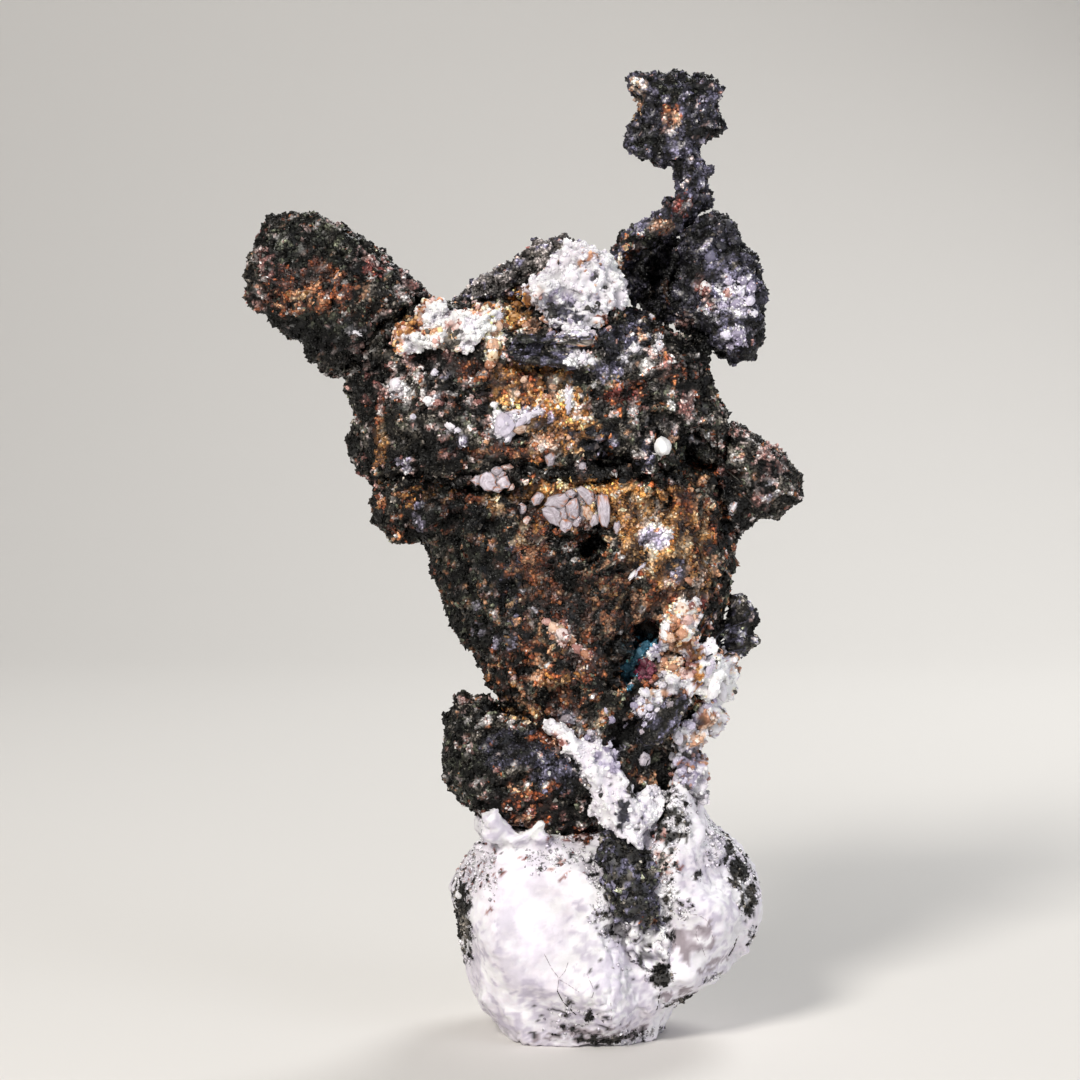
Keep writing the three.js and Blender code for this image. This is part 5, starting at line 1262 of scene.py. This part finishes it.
def crystalPiece(nodeName, look):  # chips and prisms side by side in one plane, cracked apart from each other
    draw = np.random.default_rng(look["seed"])
    middles = np.array([np.mean(outline, 0) for mineral, lift, bright, outline in look["made"]])
    fronts = np.array([frontOf(*middle) for middle in middles])
    points, faces, kinds, chances, shades = [], [], [], [], []
    for (mineral, lift, bright, outline), middle in zip(look["made"], middles):
        near = np.hypot(*(middles - middle).T) < cleavage["near"]
        front = np.median(fronts[near]) - lift
        flat = np.repeat(np.array(outline, float), 2, 0)
        flat[1::2] = (flat[1::2] + np.roll(flat[::2], -1, 0)) / 2
        flat[1::2] += draw.normal(0, cleavage["edges"], (len(outline), 2))
        spokes = flat - middle
        reach = np.hypot(*spokes.T)
        tilt = draw.uniform(-cleavage["tilt"], cleavage["tilt"], 2) / max(1.0, reach.mean())
        lean = draw.uniform(-cleavage["lean"], cleavage["lean"], 2) * reach.mean()
        rings = []
        for inset, share, back, shade in crystalRings:
            kept = share * (1 - np.minimum(inset / reach, cleavage["inset"]))
            ring = middle + (1 - share) * lean + spokes * kept[:, None]
            y = front + (look["thick"] if back is None else back)
            y = y + (ring - middle) @ tilt + draw.normal(0, cleavage["faces"], len(ring))
            rings.append(np.stack([ring[:, 0], y, ring[:, 1]], 1))
            shades.extend(shade * bright * draw.uniform(*cleavage["shades"], len(ring)))
            # brown has crept in along the rims
            stained = (draw.random(len(ring)) < cleavage["stained"]) & (share == 1)
            stain, stainChance = cleavage["stain"]
            kinds.extend(np.where(stained, mineralNames.index(stain), mineralNames.index(mineral)))
            chances.extend(np.where(stained, stainChance, draw.uniform(*cleavage["colours"], len(ring))))
        first = len(points)
        made, sides = ringMesh([rings])
        points.extend(made)
        faces.extend([first + i for i in side] for side in sides)
    mesh = bpy.data.meshes.new(nodeName + "_crystals")
    mesh.from_pydata(points, [], faces)
    outward(mesh)
    mesh.materials.append(crystalMaterial)
    paint(mesh, np.array(kinds), np.array(chances), np.array(shades))
    finish(newObject(nodeName + "_crystals", mesh), nodeName)


for nodeName, look in crystals.items():
    crystalPiece(nodeName, look)
print("stage: crystals set")

# Lumps on the front: their mineral, and for each x, z, width and height in mm, and how many degrees it leans.
lumps = {
    "column_lumps": {"node": "calcite_column", "seed": 501, "made": [
        ("teal", (6.1, 41.5, 0.8, 0.6, 30), (5.6, 40.9, 1, 0.9, 50), (5, 40.1, 1.2, 1.1, 55),
        (4.5, 39.4, 1.2, 1.1, 60), (4, 38.6, 1.3, 1.3, 70), (3.7, 37.8, 1, 1.2, 80), (3.4, 38.6, 0.8, 1, 80),
        (4.4, 38.1, 0.8, 1, 80)), ("plum", (5.6, 39.2, 1.2, 1.1, 40), (5.2, 38.4, 1, 1), (6, 38.5, 0.9, 1)),
        ("red", (6.1, 37.6, 0.9, 0.9)), ("rust", (5.6, 37.1, 0.7, 0.8)), ("calcite", (13.8, 38.1, 1, 2.4, 5),
        (13.5, 36.2, 0.9, 2), (12.5, 36.7, 1.2, 1.8, -20)), ("frost", (12.1, 39.1, 0.8, 1.8, -15)),
        ("lilac", (6.5, 40.3, 0.9, 1.2, -25), (6.9, 39.6, 0.6, 0.9, -10)),
        ("calcite", (8.9, 31.6, 1.1, 1.5, 20)), ("spar", (5.4, 29.2, 1.3, 1.7, 10)),
        ("lilac", (10.2, 32.8, 0.9, 0.8, 20), (9.6, 33.1, 0.7, 0.7), (11.9, 34.8, 1, 0.8, 10)),
        ("spar", (11.3, 34.3, 0.6, 0.6, 10)), ("lilac", (8.4, 29.6, 0.8, 0.9)),
        ("calcite", (8.4, 28.5, 0.7, 0.7)), ("lilac", (9.3, 28.1, 0.9, 0.7)),
        ("calcite", (10.2, 28.3, 0.7, 0.8)), ("lilac", (9.6, 27.1, 0.8, 0.7)),
        ("pink", (10.4, 29.5, 0.7, 0.7)), ("calcite", (9.3, 30.2, 0.7, 0.5)),
        ("pink", (8.3, 27.6, 0.6, 0.5)), ("lilac", (3.5, 32.9, 0.8, 0.9), (1.9, 33.6, 1.1, 0.9),
        (1.5, 34.6, 0.4, 0.7, 20)), ("spar", (-2.4, 33.7, 1.3, 0.9), (0.1, 32.4, 1, 0.8, 20)),
        ("lilac", (-0.3, 31.7, 0.8, 0.7, 20), (1.8, 31, 0.7, 1, 25), (2.4, 30.2, 0.7, 0.9, 25),
        (4.4, 35.1, 0.8, 0.8), (5.1, 35.5, 0.8, 0.7), (5.9, 34.9, 0.8, 0.7)),
        ("calcite", (6.7, 34.7, 0.7, 0.6), (5.1, 34.5, 0.9, 0.8)), ("lilac", (5.8, 34.1, 0.7, 0.6),
        (4.5, 34.4, 0.6, 0.5), (5.4, 33.3, 0.5, 0.8, -20)), ("spar", (5.1, 32.6, 0.5, 0.6),
        (7.9, 35.3, 0.9, 0.7, 30)), ("cream", (7.5, 39.4, 0.9, 1), (8.3, 38.9, 0.9, 0.8)),
        ("calcite", (7.4, 38.3, 0.8, 0.7), (8.1, 37.7, 1, 0.8), (7.2, 37.2, 0.8, 0.7), (9, 37.2, 0.8, 0.7)),
        ("rust", (6.5, 37.8, 0.6, 0.7)), ("cream", (9.1, 39.6, 0.8, 0.9)), ("pink", (9.3, 38.5, 0.8, 0.9)),
        ("cream", (9.2, 44.9, 1.5, 1.2), (8.6, 44, 1.3, 1.1)), ("pink", (9.6, 43.8, 1.2, 1.1)),
        ("cream", (8.2, 43.1, 1.2, 1.1)), ("calcite", (7.5, 42.9, 0.9, 1.3)), ("cream", (7.9, 42, 1.1, 1),
        (9.1, 42.6, 1.2, 1.1)), ("ochre", (8.8, 41.5, 1.1, 0.9)), ("pink", (10, 45.3, 0.9, 0.8)),
    ]},
    "shoulder_lumps": {"node": "calcite_shoulder_crust", "seed": 511, "made": [
        ("calcite", (-0.9, 70.1, 1.5, 1, 80), (-0.1, 69.7, 1, 0.9), (-1.9, 70.3, 0.8, 0.6),
        (6.9, 71.3, 0.9, 1.1, 20), (4.4, 71, 0.9, 0.7), (6.2, 74.2, 0.8, 0.6)),
        ("pink", (-1.2, 59.4, 0.9, 1.1)), ("lilac", (1.1, 60.4, 0.8, 0.6)),
        ("calcite", (-24, 72.6, 1.8, 0.8, -25), (-19.6, 67.4, 1.3, 1.5), (-18.9, 66.5, 1.1, 1)),
        ("pink", (-19.5, 66.3, 0.7, 0.7)), ("frost", (-15.6, 68.5, 0.8, 1)),
        ("calcite", (-16.3, 65.8, 1.1, 0.9)), ("pink", (-15.5, 65.6, 0.9, 0.7), (-15.8, 66.5, 0.7, 0.6)),
        ("calcite", (-14.1, 63.3, 1.3, 1, -20)), ("frost", (-13.4, 62.8, 0.8, 0.7)),
        ("lilac", (-12.9, 61.8, 0.7, 1.1)), ("pink", (-17.2, 68.9, 0.8, 0.7)),
        ("frost", (-8.7, 63.4, 2.6, 1.9, 50), (-6.7, 64, 2.6, 1.1, 28), (-5, 64.75, 2.2, 0.6, 12)),
        ("calcite", (-6, 64.35, 2.2, 0.6, 24), (-6.6, 63.95, 2.4, 0.7, 32)),
        ("frost", (-7.4, 63.4, 2.2, 0.8, 38)), ("calcite", (-8.1, 62.7, 2, 0.9, 48),
        (-8.5, 61.9, 1.6, 0.8, 58), (-8.9, 63.5, 1.6, 1.1, 60), (-9.4, 64.5, 1.5, 1, 80)),
        ("frost", (-8.4, 64.3, 1.5, 0.9, 20)), ("calcite", (-7.5, 64.7, 1.4, 0.6, 10),
        (-9.3, 62.6, 1.2, 0.9, 90), (-9.7, 65.3, 0.9, 0.7), (-2.3, 66.3, 0.8, 2, 8)),
        ("frost", (-2.3, 64.9, 0.5, 1, -10)), ("pink", (-12.2, 66.2, 0.8, 0.6), (-11.2, 65.7, 0.6, 0.6)),
        ("frost", (-17.9, 64.2, 0.6, 0.6)), ("calcite", (-9.4, 74.3, 1.1, 0.9)),
        ("pink", (-17.3, 65.5, 0.6, 0.6)),
    ]},
    "streak_lumps": {"node": "calcite_shoulder_crust", "seed": 541, "made": [
        ("cream", (-9.5, 73.4, 1.3, 1.2), (-9.7, 72.4, 1.2, 1.3), (-9.9, 71.4, 1.4, 1.4)),
        ("ochre", (-9.8, 70.4, 1.3, 1.2)), ("cream", (-10.1, 69.5, 1.1, 1.1)),
        ("ochre", (-8.9, 74.6, 1.1, 0.9), (-7.6, 75.4, 1.2, 1), (-7.7, 74.2, 1.3, 1.1)),
        ("cream", (-8.7, 73.2, 0.9, 0.9), (-6.6, 73.2, 1, 0.8), (-5.8, 72.8, 0.8, 0.7)),
    ]},
    "trunk_lumps": {"node": "silver_trunk", "seed": 551, "made": [
        ("pink", (-4.4, 43.5, 1.2, 0.9, -30)), ("cream", (-3.6, 43, 1.4, 1, -30)),
        ("pink", (-2.8, 42.4, 1.5, 1.1, -35)), ("cream", (-2, 41.7, 1.4, 1, -40)),
        ("pink", (-1.3, 41, 1.4, 1, -35)), ("cream", (-0.4, 40.4, 1.2, 0.9, -30)),
        ("pink", (-2.9, 41.4, 0.9, 0.7)), ("cream", (-3.8, 42, 0.8, 0.7), (-5.7, 37.6, 1, 0.8)),
        ("ochre", (-4.9, 37.2, 0.9, 0.8)), ("cream", (-4, 37.5, 0.9, 0.7)), ("rust", (-2.6, 36, 1, 0.6, 10)),
        ("cream", (9.9, 47.7, 1, 0.8)),
    ]},
    "centre_lumps": {"node": "silver_shoulder", "seed": 561, "grains": 11, "made": [
        ("ochre", (-8, 67.4, 0.9, 0.7)), ("cream", (-6.7, 68, 0.9, 0.7, 10)),
        ("ochre", (-5.2, 67.6, 1, 0.8, -10)), ("cream", (-3.8, 67.2, 0.9, 0.7), (-7.4, 66.4, 0.9, 0.7)),
        ("ochre", (-6, 66.5, 0.9, 0.7)), ("cream", (-4.6, 66.2, 0.9, 0.7)),
        ("ochre", (-3.2, 65.8, 0.8, 0.7)), ("cream", (-1.6, 64.6, 0.8, 0.6)),
        ("ochre", (-3.4, 63.4, 0.9, 0.8), (-4.9, 62.6, 0.9, 0.6)), ("cream", (-2.2, 62.2, 0.9, 0.7)),
        ("rust", (-5.6, 61.4, 0.8, 0.6)), ("cream", (-3.8, 61.2, 0.9, 0.6)),
        ("rust", (-6.8, 60.9, 0.6, 0.5)), ("ochre", (-1.2, 66.8, 0.7, 0.6)),
    ]},
    "lobe_lumps": {"node": "silver_right_lobe", "seed": 571, "grains": 12, "made": [
        ("lilac", (14.1, 77.9, 1.1, 1), (15.3, 78.1, 1.2, 1.1), (16.3, 77.2, 1.1, 1.2),
        (15.1, 76.8, 1.3, 1.1)), ("pink", (13.9, 76.6, 1, 1)), ("lilac", (16.1, 75.8, 1.2, 1.1),
        (14.8, 75.5, 1.2, 1), (13.4, 75.3, 1, 0.8), (16.6, 74.6, 0.9, 0.9), (13.8, 72.4, 1.2, 1),
        (15.1, 72.5, 1.3, 1.2), (14.5, 71.3, 1.2, 1), (15.9, 71.6, 1, 1)), ("pink", (11.6, 77.3, 1.1, 1.1)),
        ("blueGrey", (12.6, 82.8, 1.6, 1.4), (13.8, 83.4, 1.7, 1.5), (13.2, 81.4, 1.5, 1.4),
        (14.6, 82, 1.3, 1.3), (12.2, 80.4, 1.4, 1.2)),
    ]},
    "ledge_lumps": {"node": "silver_blades", "seed": 531, "made": [
        ("lilac", (-4.1, 72.4, 1.1, 0.6, 25), (-3.3, 72.8, 1.2, 0.7, 20)),
        ("calcite", (-2.4, 73.1, 1.2, 0.8), (-1.4, 73.2, 1.2, 0.9, -10)), ("lilac", (-0.5, 73, 1, 0.8, -20)),
        ("spar", (0.1, 72.6, 0.7, 0.6, -30), (-2.8, 72.5, 1.1, 0.5)), ("lilac", (-1.7, 72.6, 1.2, 0.5)),
        ("calcite", (-0.7, 72.5, 1, 0.5)), ("lilac", (-3.6, 73.4, 0.8, 0.6), (-2, 73.8, 0.9, 0.6)),
    ]},
    "foot_lumps": {"node": "calcite_foot", "seed": 521, "made": [
        ("calcite", (0.1, 24.2, 0.9, 1.4)), ("pink", (-8.3, 24.7, 0.9, 0.7)),
        ("calcite", (-13.4, 15, 0.8, 0.9)), ("frost", (-7, 22.6, 0.7, 0.6)),
    ]},
}
# A lump's own waves across it and how high they are, and the small grains that have grown on it.
lumpLook = {"waves": (3, 4, 5, 7, 9), "heights": (0.13, 0.11, 0.09, 0.07, 0.05), "sunk": 0.12, "grains": 9,
            "grainSeat": 0.47, "grainSize": (0.18, 0.34), "grainVaries": (0.7, 1.2), "colourVaries": 0.25}


def leaned(u, v, w, turn):  # a place on a lump, with the lump's lean
    return Vector((u * math.cos(turn) - w * math.sin(turn), v, u * math.sin(turn) + w * math.cos(turn)))


def lumpPiece(name, look):  # knobbly grains with a few dozen facets
    look = {**lumpLook, **look}
    draw = np.random.default_rng(look["seed"])
    shape = bmesh.new()
    kinds, chances = [], []
    made = [(mineral, *lump) for mineral, *run in look["made"] for lump in run]
    for mineral, x, z, width, height, *lean in made:
        turn = math.radians(sum(lean))
        depth = min(width, height)
        middle = Vector((x, frontOf(x, z) + look["sunk"] * depth, z))
        waves = draw.normal(0, 1, (5, 3)) * np.array(look["waves"])[:, None]
        starts = draw.uniform(0, 2 * math.pi, 5)
        before = len(shape.verts)
        for vertex in bmesh.ops.create_icosphere(shape, subdivisions=2, radius=0.5)["verts"]:
            swell = 1 + float(np.sin(waves @ np.array(vertex.co) + starts) @ look["heights"])
            u, v, w = vertex.co * swell
            vertex.co = (middle + leaned(u * width, v * depth, w * height, turn)) * mm
        chance = draw.random()
        kinds.extend([mineralNames.index(mineral)] * (len(shape.verts) - before))
        chances.extend([chance] * (len(shape.verts) - before))
        for grain in range(look["grains"]):
            around = draw.normal(0, 1, 3)
            u, v, w = around / np.linalg.norm(around) * look["grainSeat"]
            seat = middle + leaned(u * width, -abs(v) * depth, w * height, turn)
            size = draw.uniform(*look["grainSize"]) * depth ** 0.5
            before = len(shape.verts)
            for vertex in bmesh.ops.create_icosphere(shape, subdivisions=1, radius=0.5 * size)["verts"]:
                vertex.co = (vertex.co * draw.uniform(*look["grainVaries"]) + seat) * mm
            kinds.extend([mineralNames.index(mineral)] * (len(shape.verts) - before))
            grainChance = (chance + draw.normal(0, look["colourVaries"])) % 1
            chances.extend([grainChance] * (len(shape.verts) - before))
    mesh = bpy.data.meshes.new(name)
    shape.to_mesh(mesh)
    shape.free()
    mesh.materials.append(calciteMaterial)
    paint(mesh, np.array(kinds), np.array(chances), np.ones(len(kinds)))
    finish(newObject(name, mesh), look["node"])


for name, look in lumps.items():
    lumpPiece(name, look)
print("stage: lumps set")


def threadTree():  # sweeps a round thread along each line of a mesh, fine at both ends
    tree, given, result = newTree("threadSweep", [
        ("Radius", "Float", 0.05 * mm), ("Sides", "Int", 5), ("Steps", "Int", 12),
        ("Material", "Material", None),
    ])
    lines = addNode(tree, "GeometryNodeMeshToCurve", {"Mesh": given["Geometry"]})
    even = addNode(tree, "GeometryNodeResampleCurve", {"Curve": lines, "Count": given["Steps"]})
    along = addNode(tree, "GeometryNodeSplineParameter").outputs["Factor"]
    fromMiddle = addNode(tree, maths, {0: along, 1: 0.5}, operation="SUBTRACT")
    outwards = addNode(tree, maths, {0: fromMiddle}, operation="ABSOLUTE")
    taper = addNode(tree, "ShaderNodeMapRange", {
        "Value": outwards, "From Min": 0.25, "From Max": 0.5, "To Min": 1.0, "To Max": 0.4})
    sized = addNode(tree, "GeometryNodeSetCurveRadius", {"Curve": even, "Radius": taper})
    ring = addNode(tree, "GeometryNodeCurvePrimitiveCircle", {
        "Resolution": given["Sides"], "Radius": given["Radius"]})
    swept = addNode(tree, "GeometryNodeCurveToMesh", {
        "Curve": sized, "Profile Curve": ring, "Fill Caps": True})
    return endTree(tree, given, result, swept)


# Hairline cracks lie in the surface and wires stand off it: their radius, how far they bow out, and their
# paths as x, z, all in mm.
threads = {
    "foot_cracks": {
        "node": "calcite_foot", "slot": "calcite", "mineral": "spar", "radius": 0.035, "lift": 0.0,
        "paths": [
            [(-4.7, 10.3), (-3.9, 8.7), (-3.2, 7.9), (-3.4, 6.6)], [(-2.3, 9.5), (-2.6, 8.6), (-3.2, 7.9)],
            [(-3.3, 7.8), (-2.2, 7.2), (-1.2, 6.6)],
            [(9, 13.6), (9.8, 14.3), (10.9, 14.2), (12, 13.3), (12.3, 11.6)],
            [(8.6, 12.9), (8.2, 11.9), (8.6, 10.8)], [(15.2, 11.4), (14.8, 9.8), (14.2, 8.3)],
            [(10.9, 13.2), (10.5, 12), (11.2, 10.8), (11.6, 9.6)], [(1.9, 6), (2.1, 4), (1.8, 2)],
            [(-0.2, 5.4), (0.3, 6.8), (-0.4, 8.4)],
        ],
    },
    "foot_fissures": {
        "node": "calcite_foot", "slot": "calcite", "mineral": "silver", "radius": 0.07, "lift": -0.03,
        "paths": [
            [(-3.4, 6.6), (-2.9, 5.5), (-2.2, 4.6), (-1.5, 3.9)], [(-0.1, 4.5), (-0.3, 3.7), (-0.2, 3)],
            [(7.1, 6.6), (6.9, 5.2), (6.7, 4)], [(15, 11), (14.7, 9.8), (14.2, 8.8)],
        ],
    },
    "trunk_wires": {
        "node": "silver_trunk", "slot": "tarnished_silver", "mineral": "silver", "radius": 0.06, "lift": 0.5,
        "paths": [
            [(13.4, 50.6), (14.3, 49.6), (14.9, 48)], [(9.6, 57.4), (10.8, 58.6), (12.4, 59.3)],
            [(-12.4, 54.6), (-13.2, 56), (-12.8, 57.2)],
        ],
    },
    "fin_wires": {
        "node": "silver_lower_fin", "slot": "tarnished_silver", "mineral": "blueGrey", "radius": 0.09,
        "lift": 0.3, "paths": [
            [(11.2, 41.4), (13, 43), (14.8, 44.2)], [(11.4, 40.8), (14, 42.2), (16.4, 43)],
            [(11.6, 40), (14.2, 41), (16.8, 41.4)], [(12, 39.4), (14, 39.8), (16, 40)],
            [(10.8, 42.2), (12.4, 44), (13.6, 45)],
        ],
    },
    "spur_wires": {
        "node": "silver_right_spur", "slot": "tarnished_silver", "mineral": "silver", "radius": 0.1,
        "lift": 0.4, "paths": [
            [(13.6, 58.8), (15, 57.7), (16.2, 56.5)], [(14.4, 57), (16, 55.8), (17, 54.6)],
        ],
    },
}
knotsInThread = 9


def threadPiece(name, look):  # cracks or wires of one kind, laid over the skins
    points, edges = [], []
    for path in look["paths"]:
        knots = np.array(path)
        reach = np.concatenate([[0], np.cumsum(np.hypot(*np.diff(knots, axis=0).T))])
        steps = np.linspace(0, reach[-1], knotsInThread)
        x, z = (np.interp(steps, reach, knots[:, i]) for i in (0, 1))
        y = np.array([frontOf(a, b) for a, b in zip(x, z)])
        if look["lift"] > 0:  # a wire spans the dips under it
            y = np.convolve(np.pad(y, 1, mode="edge"), (0.25, 0.5, 0.25), "valid")
        bow = look["lift"] * np.sin(np.linspace(0, math.pi, knotsInThread))
        first = len(points)
        points.extend(zip(x * mm, (y - bow) * mm, z * mm))
        edges.extend((first + i, first + i + 1) for i in range(knotsInThread - 1))
    mesh = bpy.data.meshes.new(name)
    mesh.from_pydata(points, edges, [])
    piece = runTree(newObject(name, mesh), sweep, {
        "Radius": look["radius"] * mm, "Material": silverMaterial}, name)
    count = len(piece.data.vertices)
    piece.data.materials.clear()
    piece.data.materials.append(silverMaterial)
    which = np.full(count, mineralNames.index(look["mineral"]))
    paint(piece.data, which, np.full(count, 0.5), np.ones(count))
    finish(piece, look["node"])


sweep = threadTree()
for name, look in threads.items():
    threadPiece(name, look)
print("stage: threads drawn,", sum(triangles.values()), "triangles, at most", max(triangles.values()), "each")


studio = {"floorReach": 1.2, "backdropFrom": 0.35, "bendRadius": 0.25, "bendSteps": 13, "colour": "#dcdad6",
          "rough": 0.85}


def buildStage():  # a pale floor that sweeps up behind the specimen
    reach, start, bend = studio["floorReach"], studio["backdropFrom"], studio["bendRadius"]
    profile = [(-reach, 0.0), (start, 0.0)]
    for angle in np.linspace(0, math.pi / 2, studio["bendSteps"])[1:]:
        profile.append((start + bend * math.sin(angle), bend - bend * math.cos(angle)))
    profile.append((start + bend, reach))
    shape = bmesh.new()
    rows = [[shape.verts.new((x, y, z)) for y, z in profile] for x in (-reach, reach)]
    for i in range(len(profile) - 1):
        shape.faces.new((rows[0][i], rows[1][i], rows[1][i + 1], rows[0][i + 1]))
    mesh = bpy.data.meshes.new("studioFloor")
    shape.to_mesh(mesh)
    shape.free()
    material, tree, shader = newMaterial("paleBackdropPaper")
    shader["Base Color"].default_value = (*linear(studio["colour"]), 1)
    shader["Roughness"].default_value = studio["rough"]
    mesh.materials.append(material)
    for polygon in mesh.polygons:
        polygon.use_smooth = True
    newObject("studioFloor", mesh)


# Where each lamp stands and what it points at in metres, its size, its power in watts and its colour.
lamps = {
    "keyLight": ((-0.24, -0.46, 0.38), (0, 0, 0.05), 0.16, 3.6, "#fffaf4"),
    "fillLight": ((0.42, -0.36, 0.16), (0, 0, 0.05), 0.35, 0.9, "#f1f4ff"),
    "rimLight": ((0.2, 0.35, 0.4), (0, 0, 0.06), 0.25, 1.6, "#ffffff"),
}


def addLamp(name, place, target, size, watts, colour):
    data = bpy.data.lights.new(name, "AREA")
    data.shape = "DISK"
    data.size = size
    data.energy = watts
    data.color = linear(colour)
    lamp = newObject(name, data)
    lamp.location = place
    lamp.rotation_euler = (Vector(target) - Vector(place)).to_track_quat("-Z", "Y").to_euler()


buildStage()
for name, settings in lamps.items():
    addLamp(name, *settings)

room = {"colour": "#e9e9ec", "strength": 0.25}
world = bpy.data.worlds.new("softRoom")
world.use_nodes = True
sky = world.node_tree.nodes["Background"].inputs
sky["Color"].default_value = (*linear(room["colour"]), 1)
sky["Strength"].default_value = room["strength"]
bpy.context.scene.world = world
bpy.context.scene.view_settings.view_transform = "Standard"

view = {"lens": 100, "sensor": 36, "distance": 0.3105, "tilt": 4.0, "centre": (-5.14, 51.2)}
cameraData = bpy.data.cameras.new("specimenCamera")
cameraData.lens = view["lens"]
cameraData.sensor_width = view["sensor"]
camera = newObject("specimenCamera", cameraData)
aim = Vector((view["centre"][0] * mm, 0, view["centre"][1] * mm))
tilt = math.radians(view["tilt"])
camera.location = aim + view["distance"] * Vector((0, -math.cos(tilt), math.sin(tilt)))
camera.rotation_euler = (math.pi / 2 - tilt, 0, 0)
bpy.context.scene.camera = camera
print("stage: lights and camera set")
